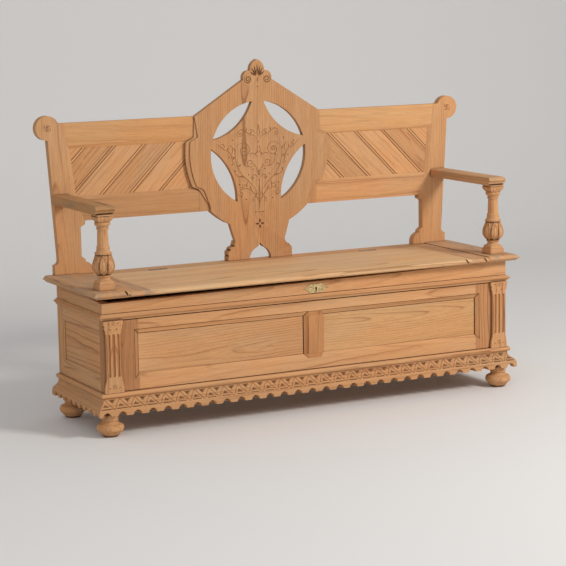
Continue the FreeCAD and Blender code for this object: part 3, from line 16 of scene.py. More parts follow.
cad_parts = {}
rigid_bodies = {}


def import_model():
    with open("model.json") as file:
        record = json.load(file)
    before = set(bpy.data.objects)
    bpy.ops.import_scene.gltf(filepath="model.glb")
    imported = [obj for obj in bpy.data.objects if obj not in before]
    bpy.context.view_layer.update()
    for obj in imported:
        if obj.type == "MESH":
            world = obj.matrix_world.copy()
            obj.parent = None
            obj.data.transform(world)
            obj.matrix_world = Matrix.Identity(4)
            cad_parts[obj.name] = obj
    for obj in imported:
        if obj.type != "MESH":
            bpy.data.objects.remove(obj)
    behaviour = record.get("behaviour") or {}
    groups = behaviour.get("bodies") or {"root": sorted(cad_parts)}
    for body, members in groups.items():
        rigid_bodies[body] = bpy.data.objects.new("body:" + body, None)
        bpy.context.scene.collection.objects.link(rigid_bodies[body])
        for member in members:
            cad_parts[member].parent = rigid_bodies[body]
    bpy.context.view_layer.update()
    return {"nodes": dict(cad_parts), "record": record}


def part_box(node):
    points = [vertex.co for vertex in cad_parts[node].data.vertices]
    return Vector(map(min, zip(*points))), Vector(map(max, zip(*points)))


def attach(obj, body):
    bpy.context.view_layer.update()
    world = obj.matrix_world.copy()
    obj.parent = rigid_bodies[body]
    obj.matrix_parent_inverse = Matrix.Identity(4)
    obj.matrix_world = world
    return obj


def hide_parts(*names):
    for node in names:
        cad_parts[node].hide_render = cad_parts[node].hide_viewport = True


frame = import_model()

MM = 0.001


def mm(*place):
    """A place given in millimetres, in metres."""
    return tuple(value * MM for value in place)


# %% [markdown]
# ## The camera
# The photograph was taken from a little above the bench, to its left, with a long lens. The place
# and the turn of the camera were worked out from the corners of the chest, so the outline of the
# model falls on the outline in the photograph. A camera looks along its own -Z axis: its three
# columns are right, up and backwards, here turned by heading, tilt and a small roll.

# %% Place the camera
camera_data = bpy.data.cameras.new("photograph_camera")
camera_data.sensor_width = 36
camera_data.lens = 126.2
camera_data.clip_start, camera_data.clip_end = 0.1, 60
camera = bpy.data.objects.new("photograph_camera", camera_data)
bpy.context.scene.collection.objects.link(camera)
bpy.context.scene.camera = camera

heading, tilt, roll = (math.radians(a) for a in (27.03, -8.92, -0.99))
forward = Vector((math.sin(heading) * math.cos(tilt), math.cos(heading) * math.cos(tilt), math.sin(tilt)))
level_right = Vector((math.cos(heading), -math.sin(heading), 0))
level_up = level_right.cross(forward)
right = level_right * math.cos(roll) + level_up * math.sin(roll)
up = level_up * math.cos(roll) - level_right * math.sin(roll)
camera.matrix_world = Matrix.Translation((-3.2182, -6.2760, 1.5366)) @ Matrix(
    (right, up, -forward)).transposed().to_4x4()
print("camera to the bench's middle:", round((camera.location - Vector((0, 0, 0.6))).length, 2), "m")

# %% [markdown]
# ## Floor, backdrop and light
# The bench stands on a plain pale floor that sweeps up into a backdrop, so no edge shows behind it.
# A wide soft lamp from the upper right is the main light, a weaker one fills from the left, and
# the world adds an even glow. The lamps stay at a plain level: a colour renders about as written.

# %% Floor and backdrop
def matte(name, colour, roughness=0.8):
    """A plain material for the studio, with a faint mottle so that it isn't dead flat."""
    material = bpy.data.materials.new(name)
    material.use_nodes = True
    nodes, links = material.node_tree.nodes, material.node_tree.links
    shader = nodes["Principled BSDF"]
    shader.inputs["Roughness"].default_value = roughness
    mottle = nodes.new("ShaderNodeTexNoise")
    mottle.inputs["Scale"].default_value = 1.2
    tint = nodes.new("ShaderNodeMix")
    tint.data_type = "RGBA"
    tint.inputs["A"].default_value = (*[c * 0.97 for c in colour], 1)
    tint.inputs["B"].default_value = (*colour, 1)
    links.new(mottle.outputs["Fac"], tint.inputs["Factor"])
    links.new(tint.outputs["Result"], shader.inputs["Base Color"])
    # from behind, the backdrop lets the view through to the back of the bench
    clear, blend = nodes.new("ShaderNodeBsdfTransparent"), nodes.new("ShaderNodeMixShader")
    links.new(nodes.new("ShaderNodeNewGeometry").outputs["Backfacing"], blend.inputs["Fac"])
    links.new(shader.outputs[0], blend.inputs[1])
    links.new(clear.outputs[0], blend.inputs[2])
    links.new(blend.outputs[0], nodes["Material Output"].inputs["Surface"])
    return material


sweep = []
for step in range(13):
    turn = math.radians(90 * step / 12)
    sweep.append((2.6 + 1.2 * math.sin(turn), 1.2 - 1.2 * math.cos(turn)))
sweep = [(-9.0, 0.0)] + sweep + [(3.8, 6.0)]
studio_mesh = bpy.data.meshes.new("studio")
corners = [(x, y, z) for y, z in sweep for x in (-12.0, 12.0)]
strips = [(2 * i, 2 * i + 1, 2 * i + 3, 2 * i + 2) for i in range(len(sweep) - 1)]
studio_mesh.from_pydata(corners, [], strips)
studio_mesh.polygons.foreach_set("use_smooth", [True] * len(strips))
studio = bpy.data.objects.new("studio", studio_mesh)
bpy.context.scene.collection.objects.link(studio)
studio_mesh.materials.append(matte("studio_paint", (0.80, 0.79, 0.78)))

# %% Lamps and world
def soft_lamp(name, place, aim, size, power, colour):
    data = bpy.data.lights.new(name, "AREA")
    data.shape = "RECTANGLE"
    data.size, data.size_y = size
    data.energy = power
    data.color = colour
    lamp = bpy.data.objects.new(name, data)
    lamp.location = place
    lamp.rotation_euler = (Vector(aim) - Vector(place)).to_track_quat("-Z", "Y").to_euler()
    bpy.context.scene.collection.objects.link(lamp)
    return lamp


soft_lamp("key_lamp", (2.6, -3.8, 3.2), (0, 0, 0.5), (1.3, 1.1), 168, (1.0, 0.97, 0.93))
soft_lamp("fill_lamp", (-3.4, -3.4, 2.4), (0, 0, 0.5), (2.5, 2.0), 22, (0.95, 0.97, 1.0))
world = bpy.data.worlds.new("studio_glow")
bpy.context.scene.world = world
world.use_nodes = True
world.node_tree.nodes["Background"].inputs["Color"].default_value = (1.0, 1.0, 1.0, 1)
world.node_tree.nodes["Background"].inputs["Strength"].default_value = 0.47
bpy.context.scene.view_settings.view_transform = "Standard"

# %% [markdown]
# ## The wood
# The bench has been stripped to bare, pale brown wood. What the eye reads as wood is
# the growth rings: a board is a flat cut through a tree's cone-like rings, so a face near the heart
# shows long arches and a face far from it shows straight lines. A flat picture of grain can't follow
# a cut or a moulding, so the grain here is a solid: rings round an axis that lies behind each
# board's face, a little tilted. Every board gets its own heart, so no two boards look alike.
#
# On top of the rings come the fine things: fibres and short pores along the grain, patches where
# the stripping took more or less colour, painted shade in the joints that partly stands for dirt, and paler,
# rounded arrises.

# %% A short way to write shader nodes
def node(tree, kind, settings=(), **sockets):
    """Adds a node; a socket's value is a number, a tuple, or another node's output to link."""
    made = tree.nodes.new("ShaderNode" + kind)
    for key, value in dict(settings).items():
        setattr(made, key, value)
    for key, value in sockets.items():
        socket = made.inputs[int(key[1:])] if key[0] == "i" and key[1:].isdigit() else made.inputs[
            key.replace("_", " ")]
        if isinstance(value, bpy.types.NodeSocket):
            tree.links.new(value, socket)
        else:
            socket.default_value = value
    return made


def blend_colours(tree, amount, first, second, mode="MIX"):
    mix = node(tree, "Mix", {"data_type": "RGBA", "blend_type": mode})
    for socket, value in ((mix.inputs["Factor"], amount), (mix.inputs[6], first), (mix.inputs[7], second)):
        if isinstance(value, bpy.types.NodeSocket):
            tree.links.new(value, socket)
        else:
            socket.default_value = (*value, 1) if isinstance(value, tuple) else value
    return mix.outputs[2]


def arithmetic(tree, operation, first, second=0.0, clamp=False):
    return node(tree, "Math", {"operation": operation, "use_clamp": clamp}, i0=first, i1=second).outputs[0]


def remap(tree, value, low, high, to_low=0.0, to_high=1.0):
    return node(tree, "MapRange", {"interpolation_type": "SMOOTHSTEP"}, Value=value, From_Min=low,
                From_Max=high, To_Min=to_low, To_Max=to_high).outputs[0]


def stretched(tree, vector, along, across):
    """A vector scaled along the grain and across it."""
    return node(tree, "Mapping", {}, Vector=vector, Scale=(along, across, across)).outputs[0]


def noise(tree, vector, detail, roughness=0.5, scale=1.0):
    return node(tree, "TexNoise", {}, Vector=vector, Scale=scale, Detail=detail, Roughness=roughness)


# %% The wood material
EARLY_WOOD = (0.615, 0.352, 0.172)
LATE_WOOD = (0.330, 0.150, 0.060)
PORE = (0.240, 0.112, 0.045)
GREYED = (0.345, 0.235, 0.152)
# the next colour is painted shade for corners and joints, which partly stands for dirt in the joints
CREASE_SHADE_AND_DIRT = (0.085, 0.042, 0.020)


def along_x(direction):
    """The turn that lays a grain direction along X."""
    return Vector(direction).rotation_difference(Vector((1, 0, 0))).to_matrix()


def wood(name, centre, grain, face, heart=0.07, aside=0.0, ring=0.0062, tone=1.0, grey=0.10,
         figure=1.0, contrast=1.0, wash=(1.0, 1.0, 1.0)):
    """Solid wood for one board: grain and face are directions, heart is how far the pith lies
    behind the face, aside how far it lies to the side, and ring the width of a growth ring. wash
    tints the whole board, for boards that use has bleached or stain has left redder."""
    draw = random.Random(name)
    material = bpy.data.materials.new(name)
    material.use_nodes = True
    tree = material.node_tree
    shader = tree.nodes["Principled BSDF"]

    grain, face = Vector(grain).normalized(), Vector(face).normalized()
    lean = [math.radians(draw.uniform(-1.6, 1.6)) for _ in range(2)]
    turn = Euler((0, *lean)).to_matrix() @ along_x(grain)
    pith = Vector(centre) + face * heart + grain.cross(face) * aside
    shift = -(turn @ pith) + Vector((draw.uniform(-5, 5), 0, 0))
    place = node(tree, "TexCoord").outputs["Object"]
    lie = node(tree, "Mapping", {}, Vector=place, Rotation=turn.to_euler(), Location=shift).outputs[0]
    # boards that share a material are told apart by a shift of their own
    island = node(tree, "NewGeometry").outputs["Random Per Island"]
    own = node(tree, "CombineXYZ", {}, X=arithmetic(tree, "MULTIPLY", island, 3.7),
               Y=arithmetic(tree, "MULTIPLY", island, 0.02)).outputs[0]
    lie = node(tree, "VectorMath", {"operation": "ADD"}, i0=lie, i1=own).outputs[0]

    # slow waves bend the rings, as a trunk's own bends do
    waves = noise(tree, stretched(tree, lie, 1.6, 7.0), 2.0)
    bend = node(tree, "VectorMath", {"operation": "SUBTRACT"}, i0=waves.outputs["Color"], i1=(0.5, 0.5, 0.5))
    bend = node(tree, "VectorMath", {"operation": "SCALE"}, i0=bend.outputs[0])
    bend.inputs["Scale"].default_value = 0.019 * figure
    bent = node(tree, "VectorMath", {"operation": "ADD"}, i0=lie, i1=bend.outputs[0]).outputs[0]
    rings = node(tree, "TexWave", {"wave_type": "RINGS", "rings_direction": "X", "wave_profile": "SAW"},
                 Vector=bent, Scale=0.31416 / ring, Distortion=0.5, Detail=2.0, Detail_Scale=0.35)
    late = node(tree, "ValToRGB", {}, Fac=rings.outputs["Fac"])
    ramp = late.color_ramp
    ramp.elements[0].position, ramp.elements[0].color = 0.0, (0.10, 0.10, 0.10, 1)
    ramp.elements[1].position, ramp.elements[1].color = 1.0, (0.12, 0.12, 0.12, 1)
    for position, value in ((0.50, 0.03), (0.84, 0.34), (0.93, 0.95), (0.97, 0.60)):
        stop = ramp.elements.new(position)
        stop.color = (value, value, value, 1)

    # some years are strong and some are faint
    strength = noise(tree, stretched(tree, bent, 0.5, 45.0), 3.0).outputs["Fac"]
    strength = remap(tree, strength, 0.36, 0.66, 0.35 * contrast, 1.35 * contrast)
    late_amount = arithmetic(tree, "MULTIPLY", late.outputs["Color"], strength, clamp=True)

    # fibres and pores, long along the grain and hair-thin across it
    fibres = noise(tree, stretched(tree, bent, 9.0, 520.0), 4.0, 0.65).outputs["Fac"]
    pores = noise(tree, stretched(tree, bent, 38.0, 1100.0), 1.0).outputs["Fac"]
    pores = arithmetic(tree, "MULTIPLY", remap(tree, pores, 0.60, 0.74),
                       remap(tree, late_amount, 0.0, 0.5, 0.55, 1.0))

    # patches: stripping leaves some areas redder, some paler, some greyed by use
    patch = noise(tree, stretched(tree, lie, 2.2, 6.0), 3.0, 0.6).outputs["Fac"]
    patch_value = remap(tree, patch, 0.30, 0.72)

    colour = blend_colours(tree, late_amount, EARLY_WOOD, LATE_WOOD)
    colour = blend_colours(tree, remap(tree, fibres, 0.30, 0.75, 0.0, 0.42), colour, LATE_WOOD)
    colour = blend_colours(tree, arithmetic(tree, "MULTIPLY", pores, 0.55), colour, PORE)
    warm = blend_colours(tree, 1.0, colour, (1.06, 0.95, 0.84), "MULTIPLY")
    colour = blend_colours(tree, patch_value, colour, warm)
    streaks = noise(tree, stretched(tree, lie, 5.0, 26.0), 5.0, 0.62).outputs["Fac"]
    grey_mask = remap(tree, streaks, 0.62 - 0.4 * grey, 0.86 - 0.4 * grey, 0.0, min(1.0, 0.25 + grey))
    colour = blend_colours(tree, grey_mask, colour, GREYED)

    # darker in corners and joints, where other surfaces are within 10 mm: painted shade, partly standing for
    # dirt in the joints
    closeness = node(tree, "AmbientOcclusion", {"samples": 6}, Distance=0.010).outputs["AO"]
    crease_shade_and_dirt = remap(tree, closeness, 0.34, 0.84, 0.86, 0.0)
    colour = blend_colours(tree, crease_shade_and_dirt, colour, CREASE_SHADE_AND_DIRT)
    tint = tuple(part * tone * lift for part, lift in zip(wash, (1.06, 1.04, 1.02)))
    colour = blend_colours(tree, 1.0, colour, tint, "MULTIPLY")
    tree.links.new(colour, shader.inputs["Base Color"])

    # bare wood is matte: late wood is a little smoother than the open fibres round it
    rough = arithmetic(tree, "SUBTRACT", 0.74, arithmetic(tree, "MULTIPLY", late_amount, 0.12))
    rough = arithmetic(tree, "ADD", rough, arithmetic(tree, "MULTIPLY", patch_value, 0.06))
    tree.links.new(rough, shader.inputs["Roughness"])
    shader.inputs["Specular IOR Level"].default_value = 0.32

    # the soft early wood has sunk below the late wood, and pores are tiny pits
    relief = arithmetic(tree, "SUBTRACT", arithmetic(tree, "MULTIPLY", late_amount, 0.55),
                        arithmetic(tree, "MULTIPLY", pores, 0.45))
    relief = arithmetic(tree, "ADD", relief, arithmetic(tree, "MULTIPLY", fibres, 0.35))
    bump = node(tree, "Bump", {}, Height=relief, Strength=0.7, Distance=0.0006)
    tree.links.new(bump.outputs[0], shader.inputs["Normal"])
    return material

# %% [markdown]
# ## Boards with eased edges
# No saw leaves a razor edge on a bench that is a century old: every arris has been planed, rubbed
# and stripped, and catches a thin line of light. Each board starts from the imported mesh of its
# node. Its flat faces are joined up again, a small bevel goes on every sharp edge, and weighted
# normals keep the flat faces flat. That keeps the size exact, which redrawing a board would not.

# %% Which body carries each node
BODY_OF = {name: body for body, names in frame["record"]["behaviour"]["bodies"].items() for name in names}


def settle(piece):
    """Applies a piece's modifiers, so that only its final mesh is left."""
    bpy.context.view_layer.update()
    evaluated = piece.evaluated_get(bpy.context.evaluated_depsgraph_get())
    mesh = bpy.data.meshes.new_from_object(evaluated)
    mesh.name = piece.name
    piece.modifiers.clear()
    piece.data = mesh
    return piece


def piece_from(shape, name, materials=()):
    """Turns a bmesh into an object of the scene."""
    mesh = bpy.data.meshes.new(name)
    shape.to_mesh(mesh)
    shape.free()
    for material in materials:
        mesh.materials.append(material)
    piece = bpy.data.objects.new(name, mesh)
    bpy.context.scene.collection.objects.link(piece)
    return piece


def soften(piece, width):
    """Bevels the sharp edges and shades the result smooth, with its flat faces kept flat."""
    if width:
        bevel = piece.modifiers.new("arris", "BEVEL")
        bevel.width = width
        bevel.segments = 2
        bevel.limit_method = "ANGLE"
        bevel.angle_limit = math.radians(30)
        bevel.use_clamp_overlap = True
        settle(piece)
    piece.data.polygons.foreach_set("use_smooth", [True] * len(piece.data.polygons))
    piece.data.set_sharp_from_angle(angle=math.radians(42))
    weighted = piece.modifiers.new("flat_faces", "WEIGHTED_NORMAL")
    weighted.keep_sharp = True
    return settle(piece)


def packed_shape(name):
    """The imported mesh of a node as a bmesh, with its triangles joined into flat faces."""
    shape = bmesh.new()
    shape.from_mesh(frame["nodes"][name].data)
    bmesh.ops.remove_doubles(shape, verts=shape.verts, dist=1e-6)
    bmesh.ops.dissolve_limit(shape, angle_limit=math.radians(0.5), verts=shape.verts, edges=shape.edges)
    return shape


def stand_for(piece, name):
    """Puts a piece in a node's place: it rides on the node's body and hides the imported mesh."""
    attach(piece, BODY_OF[name])
    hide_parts(name)
    return piece


# %% [markdown]
# ## Choosing each board's timber
# The directions below say how every board was cut. Panels come from near the heart, so they show
# wide arches; stiles and rails are straighter. Arms, seat ends and cleats have been handled and
# washed for a century, so they are greyer than the rest.

# %% The timber of every node
X, Y, Z = (1, 0, 0), (0, 1, 0), (0, 0, 1)
BLEACHED, HANDLED = (1.17, 1.40, 1.62), (1.01, 1.06, 1.12)
DOWN, OUT_LEFT, OUT_RIGHT = (0, 0, -1), (1, 0, 0), (-1, 0, 0)
ALONG, UPRIGHT = dict(grain=X, face=Y), dict(grain=Z, face=Y)
FLAT_ALONG, FLAT_ACROSS = dict(grain=X, face=DOWN), dict(grain=Y, face=DOWN)
TIMBER = {
    "front_panel_left": dict(ALONG, heart=0.030, aside=-0.030, ring=0.0082, figure=1.9, contrast=0.95),
    "front_panel_right": dict(ALONG, heart=0.034, aside=0.036, ring=0.0078, figure=1.8, contrast=0.80,
                              wash=(1.02, 1.08, 1.08)),
    "front_muntin": dict(UPRIGHT, heart=0.10, grey=0.0, ring=0.0050, wash=(0.80, 0.69, 0.58)),
    "front_stile_left": dict(UPRIGHT, heart=0.09, grey=0.06, ring=0.0050, wash=(0.71, 0.65, 0.62)),
    "front_stile_right": dict(UPRIGHT, heart=0.09, grey=0.06, ring=0.0050, wash=(0.80, 0.73, 0.68)),
    "front_top_rail": dict(ALONG, heart=0.12, ring=0.0052, figure=0.6, contrast=0.7),
    "front_bottom_rail": dict(ALONG, heart=0.12, ring=0.0050, figure=0.6, contrast=0.7),
    "frieze_board": dict(ALONG, heart=0.11, aside=0.02, ring=0.0058, tone=0.98, figure=0.6,
                         contrast=0.6),
    "back_splat": dict(UPRIGHT, heart=0.085, aside=0.05, ring=0.0058, tone=0.89, figure=1.3, contrast=0.95),
    "back_post_left": dict(UPRIGHT, heart=0.13, aside=0.04, ring=0.0050, tone=0.96, contrast=0.7),
    "back_post_right": dict(UPRIGHT, heart=0.13, aside=0.04, ring=0.0050, tone=0.97, contrast=0.7),
    "back_top_rail_left": dict(ALONG, heart=0.14, ring=0.0050, figure=0.5, contrast=0.5,
                               wash=(1.02, 1.03, 0.98)),
    "back_top_rail_right": dict(ALONG, heart=0.14, ring=0.0056, figure=0.5, contrast=0.5,
                                wash=(1.03, 1.09, 1.09)),
    "back_bottom_rail_left": dict(ALONG, heart=0.12, ring=0.0055, tone=0.83, figure=0.6, contrast=0.7),
    "back_bottom_rail_right": dict(ALONG, heart=0.12, ring=0.0058, figure=0.6, contrast=0.7),
    "lid_board_front": dict(FLAT_ALONG, heart=0.10, ring=0.0080, grey=0.10, wash=BLEACHED),
    "lid_board_rear": dict(FLAT_ALONG, heart=0.12, ring=0.0080, grey=0.16, wash=BLEACHED),
    "lid_cleat_left": dict(FLAT_ACROSS, heart=0.09, grey=0.50, wash=HANDLED),
    "lid_cleat_right": dict(FLAT_ACROSS, heart=0.09, grey=0.46, wash=HANDLED),
    "seat_end_left": dict(FLAT_ACROSS, heart=0.08, grey=0.50, wash=HANDLED),
    "seat_end_right": dict(FLAT_ACROSS, heart=0.08, grey=0.48, wash=HANDLED),
    "seat_rear_rail": dict(FLAT_ALONG, heart=0.09, grey=0.25, tone=0.98),
    "arm_left": dict(FLAT_ACROSS, heart=0.07, grey=0.42, wash=(0.79, 0.75, 0.66)),
    "arm_right": dict(FLAT_ACROSS, heart=0.07, grey=0.34, wash=(0.98, 1.02, 1.06)),
    "plinth_front": dict(ALONG, heart=0.08, ring=0.0080, tone=0.91),
    "plinth_left": dict(grain=Y, face=OUT_LEFT, heart=0.08, tone=0.94, grey=0.18),
    "plinth_right": dict(grain=Y, face=OUT_RIGHT, heart=0.08, tone=0.94),
    "chest_back": dict(grain=X, face=(0, -1, 0), heart=0.10, ring=0.0110, grey=0.35, tone=0.92),
    "chest_floor": dict(FLAT_ALONG, heart=0.10, ring=0.0110, grey=0.30, tone=0.92),
    "floor_battens": dict(grain=X, face=Z, heart=0.08, grey=0.35, tone=0.88),
    "corner_blocks": dict(grain=X, face=Z, heart=0.08, grey=0.30, tone=0.88),
    "plinth_bead": dict(ALONG, heart=0.08, ring=0.0070),
    "waist_moulding": dict(ALONG, heart=0.09, ring=0.0070),
    "pilaster_left": dict(UPRIGHT, heart=0.07, ring=0.0055, tone=0.93, grey=0.16),
    "pilaster_right": dict(UPRIGHT, heart=0.07, ring=0.0055, tone=0.95, grey=0.14),
}
for hand, outward in (("left", OUT_LEFT), ("right", OUT_RIGHT)):
    TIMBER[f"side_panel_{hand}"] = dict(grain=Y, face=outward, heart=0.06, ring=0.0090)
    TIMBER[f"side_top_rail_{hand}"] = dict(grain=Y, face=outward, heart=0.09, ring=0.0070)
    TIMBER[f"side_bottom_rail_{hand}"] = dict(grain=Y, face=outward, heart=0.10, ring=0.0070)
    TIMBER[f"rear_stile_{hand}"] = dict(grain=Z, face=outward, heart=0.09, ring=0.0060)
    TIMBER[f"arm_support_{hand}"] = dict(UPRIGHT, heart=0.24, ring=0.0055, grey=0.12)
    for end in ("front", "rear"):
        TIMBER[f"foot_{end}_{hand}"] = dict(UPRIGHT, heart=0.26, ring=0.0060, grey=0.22)


def timber(name):
    """The material of a node's board, with its heart measured from the board's own middle."""
    low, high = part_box(name)
    return wood("wood_" + name, (low + high) / 2, **TIMBER[name])


def ease(name, width, ending):
    """A node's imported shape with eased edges, in its own timber, standing for the node."""
    piece = piece_from(packed_shape(name), name + ending, [WOOD[name]])
    return stand_for(soften(piece, width), name)


WOOD = {name: timber(name) for name in TIMBER}
print("kinds of timber made:", len(WOOD))

# %% Ease every plain board
PLAIN_BOARDS = [
    "side_panel_left", "side_panel_right",
    "side_top_rail_left", "side_top_rail_right", "side_bottom_rail_left", "side_bottom_rail_right",
    "rear_stile_left", "rear_stile_right", "back_top_rail_left", "back_top_rail_right",
    "back_bottom_rail_left", "back_bottom_rail_right", "seat_rear_rail", "plinth_left", "plinth_right",
    "floor_battens", "chest_floor",
]
for name in PLAIN_BOARDS:
    ease(name, 1.5 * MM, "_eased")
print("eased boards:", len(PLAIN_BOARDS))

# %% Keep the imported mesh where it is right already
def dress(name, material):
    """Gives a node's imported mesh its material."""
    mesh = frame["nodes"][name].data
    mesh.materials.clear()
    mesh.materials.append(material)


for name in ("chest_back", "corner_blocks", "plinth_bead", "waist_moulding"):
    dress(name, WOOD[name])

# %% [markdown]
# ## Carving tools
# A carver's line is a groove, so it has to be cut: a painted line would not catch the light. Each
# line here is a thin tube laid half in the surface and taken away with a boolean. The tubes wear a
# darker wood, and the boolean hands that colour to the walls of the cut, because the bottom of a
# groove keeps old stain that the stripping never reached.

# %% A dark wood for the bottoms of cuts
def stained(name, source, depth=0.55):
    """A copy of a timber whose colour is multiplied down, for the insides of cuts."""
    material = source.copy()
    material.name = name
    tree = material.node_tree
    shader = tree.nodes["Principled BSDF"]
    colour = shader.inputs["Base Color"].links[0].from_socket
    darker = blend_colours(tree, 1.0, colour, (depth, depth * 0.86, depth * 0.74), "MULTIPLY")
    tree.links.new(darker, shader.inputs["Base Color"])
    return material


# %% Tubes, pits and the cut itself
def tube(points, radius, ends=0.35, sides=7):
    """A closed tube along points, thinner towards its ends, as a gouge enters and leaves the wood."""
    shape = bmesh.new()
    last = len(points) - 1
    rings = []
    for index, point in enumerate(points):
        along = (Vector(points[min(index + 1, last)]) - Vector(points[max(index - 1, 0)])).normalized()
        first = along.orthogonal().normalized()
        second = along.cross(first)
        fade = min(1.0, ends + (1 - ends) * min(index, last - index) / max(1.0, 0.22 * last))
        ring = []
        for side in range(sides):
            angle = 2 * math.pi * side / sides
            offset = first * math.cos(angle) + second * math.sin(angle)
            ring.append(shape.verts.new(Vector(point) + offset * radius * fade))
        rings.append(ring)
    for before, after in zip(rings, rings[1:]):
        shift = min(range(sides), key=lambda s: (before[0].co - after[s].co).length)
        for side in range(sides):
            following = (side + 1) % sides
            shape.faces.new((before[side], before[following],
                             after[(following + shift) % sides], after[(side + shift) % sides]))
    shape.faces.new(rings[0][::-1])
    shape.faces.new(rings[-1])
    bmesh.ops.recalc_face_normals(shape, faces=shape.faces)
    return shape


def pit(outline, apex):
    """A chip: an outline on the surface that runs down to one deepest point."""
    shape = bmesh.new()
    rim = [shape.verts.new(point) for point in outline]
    bottom = shape.verts.new(apex)
    shape.faces.new(rim)
    for first, second in zip(rim, rim[1:] + rim[:1]):
        shape.faces.new((first, second, bottom))
    bmesh.ops.recalc_face_normals(shape, faces=shape.faces)
    return shape


def carve(piece, cutters, stain):
    """Takes the cutters away from a piece; their stained wood lines the cuts."""
    bench = bpy.data.collections.new("cutters")
    for number, shape in enumerate(cutters):
        mesh = bpy.data.meshes.new("cutter")
        shape.to_mesh(mesh)
        shape.free()
        mesh.materials.append(stain)
        bench.objects.link(bpy.data.objects.new(f"cutter_{number}", mesh))
    cut = piece.modifiers.new("carving", "BOOLEAN")
    cut.operation = "DIFFERENCE"
    cut.operand_type = "COLLECTION"
    cut.collection = bench
    cut.solver = "MANIFOLD"
    cut.material_mode = "TRANSFER"
    settle(piece)
    for tool in list(bench.objects):
        bpy.data.objects.remove(tool)
    bpy.data.collections.remove(bench)
    return piece


def close_sides(shape, near, far):
    """Joins two rims of a shape with faces."""
    for index in range(len(near)):
        following = (index + 1) % len(near)
        shape.faces.new((near[index], far[index], far[following], near[following]))
    bmesh.ops.recalc_face_normals(shape, faces=shape.faces)
    return shape


def prism(outline, front, back):
    """A board's shape from an outline, x and z in millimetres, between two depths in metres."""
    shape = bmesh.new()
    near = [shape.verts.new((x * MM, front, z * MM)) for x, z in outline]
    far = [shape.verts.new((x * MM, back, z * MM)) for x, z in outline]
    shape.faces.new(near)
    shape.faces.new(far[::-1])
    return close_sides(shape, near, far)


def curve_points(corners, steps=8):
    """A smooth line through corners (a Catmull-Rom curve), as points on one face."""
    points = []
    padded = [corners[0]] + list(corners) + [corners[-1]]
    for a, b, c, e in zip(padded, padded[1:], padded[2:], padded[3:]):
        for step in range(steps):
            t = step / steps
            points.append(tuple(0.5 * (2 * q + (r - p) * t + (2 * p - 5 * q + 4 * r - s) * t * t
                                       + (3 * q - p - 3 * r + s) * t ** 3)
                                for p, q, r, s in zip(a, b, c, e)))
    return points + [tuple(corners[-1])]


def spiral(x, z, outer, inner, start, turns, steps=34):
    """A scroll that winds inwards from an angle in degrees; turns may be negative."""
    points = []
    for step in range(steps + 1):
        t = step / steps
        angle = math.radians(start + 360 * turns * t)
        radius = outer + (inner - outer) * t ** 0.8
        points.append((x + radius * math.cos(angle), z + radius * math.sin(angle)))
    return points


# %% [markdown]
# ## The carved splat
# The splat carries all of the fine carving: a vine that climbs from a stem, with scrolls, curled
# leaves and drilled dots, and a finial with two volutes and a fan of leaves. The drawing is made
# for the right half, in millimetres from the middle, and mirrored, as a carver pricks a folded
# paper pattern through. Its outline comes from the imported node.

# %% Draw the vine
VINE = [
    curve_points([(0, 676), (1, 700), (2, 728), (1, 760), (0, 792)]),
    curve_points([(2, 700), (14, 726), (30, 745), (52, 756), (72, 753), (84, 744)]),
    spiral(75, 738, 12, 3, 40, -1.2, 22),
    curve_points([(2, 712), (12, 722), (22, 722), (30, 714)]),
    spiral(25, 712, 7, 2, 20, -1.1, 16),
    curve_points([(3, 730), (20, 758), (44, 784), (68, 806), (84, 832), (93, 862), (95, 886), (90, 907)]),
    spiral(60, 896, 32, 5, 20, 1.6, 48),
    spiral(60, 896, 9, 3, 200, -1.2, 18),
    curve_points([(84, 832), (99, 846), (108, 862), (112, 880), (124, 896), (142, 904), (158, 918),
                  (172, 924)]),
    curve_points([(112, 880), (106, 896), (108, 912), (118, 918)]),
    curve_points([(142, 904), (138, 914), (144, 922), (152, 922)]),
    spiral(34, 849, 18, 3, 200, 1.4, 30),
    curve_points([(22, 846), (12, 832), (6, 818), (2, 800)]),
    curve_points([(36, 834), (52, 838), (62, 850), (66, 866)]),
    curve_points([(4, 794), (16, 804), (26, 802), (31, 793)]),
    spiral(26, 793, 6, 2, 10, -1.1, 14),
    curve_points([(3, 868), (16, 880), (30, 884), (40, 876)]),
    curve_points([(4, 934), (16, 948), (34, 952), (50, 962), (66, 972), (78, 966), (82, 954)]),
    spiral(74, 954, 9, 2.5, 0, -1.2, 18),
    curve_points([(12, 954), (20, 966), (30, 970), (38, 966)]),
    curve_points([(2, 944), (5, 958), (2, 974), (0, 990)]),
    curve_points([(2, 884), (6, 898), (2, 912)]),
    curve_points([(66, 806), (82, 802), (96, 812), (100, 828)]),
    curve_points([(44, 784), (50, 772), (62, 768), (72, 774)]),
]
LEAVES = [
    (30, 747, 62, 7, 24), (52, 757, 96, 6, 20), (58, 797, 10, 6, 22), (86, 836, 150, 6, 20),
    (94, 866, 35, 6, 22), (94, 892, 62, 6, 20), (108, 862, 130, 5, 16), (128, 898, 120, 5, 16),
    (66, 866, 82, 6, 18), (34, 952, 120, 6, 18), (50, 963, 100, 5, 16), (14, 878, 120, 5, 15),
    (0, 806, 90, 6, 22), (10, 724, 78, 5, 20),
]
DOTS = [(104, 935), (0, 924), (120, 872), (108, 846), (96, 822), (74, 802), (80, 772), (67, 761),
        (72, 727), (24, 825), (0, 806), (0, 784), (16, 667), (0, 1126), (54, 716), (42, 806)]
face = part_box("back_splat")[0].y
print("splat face at", round(face, 4), "m; strokes", 2 * len(VINE), "leaves", 2 * len(LEAVES))


# %% Cut the splat
def on_face(points, y=face, sink=0.0):
    return [(x * MM, y + sink, z * MM) for x, z in points]


def flipped(points):
    return [(-x, z) for x, z in points]


# a leaf's outline: how far along the leaf, and how far to its side
LEAF_EDGE = ((0, 0), (0.25, 0.8), (0.5, 1), (0.8, 0.55), (1, 0), (0.8, -0.55), (0.5, -1), (0.25, -0.8))


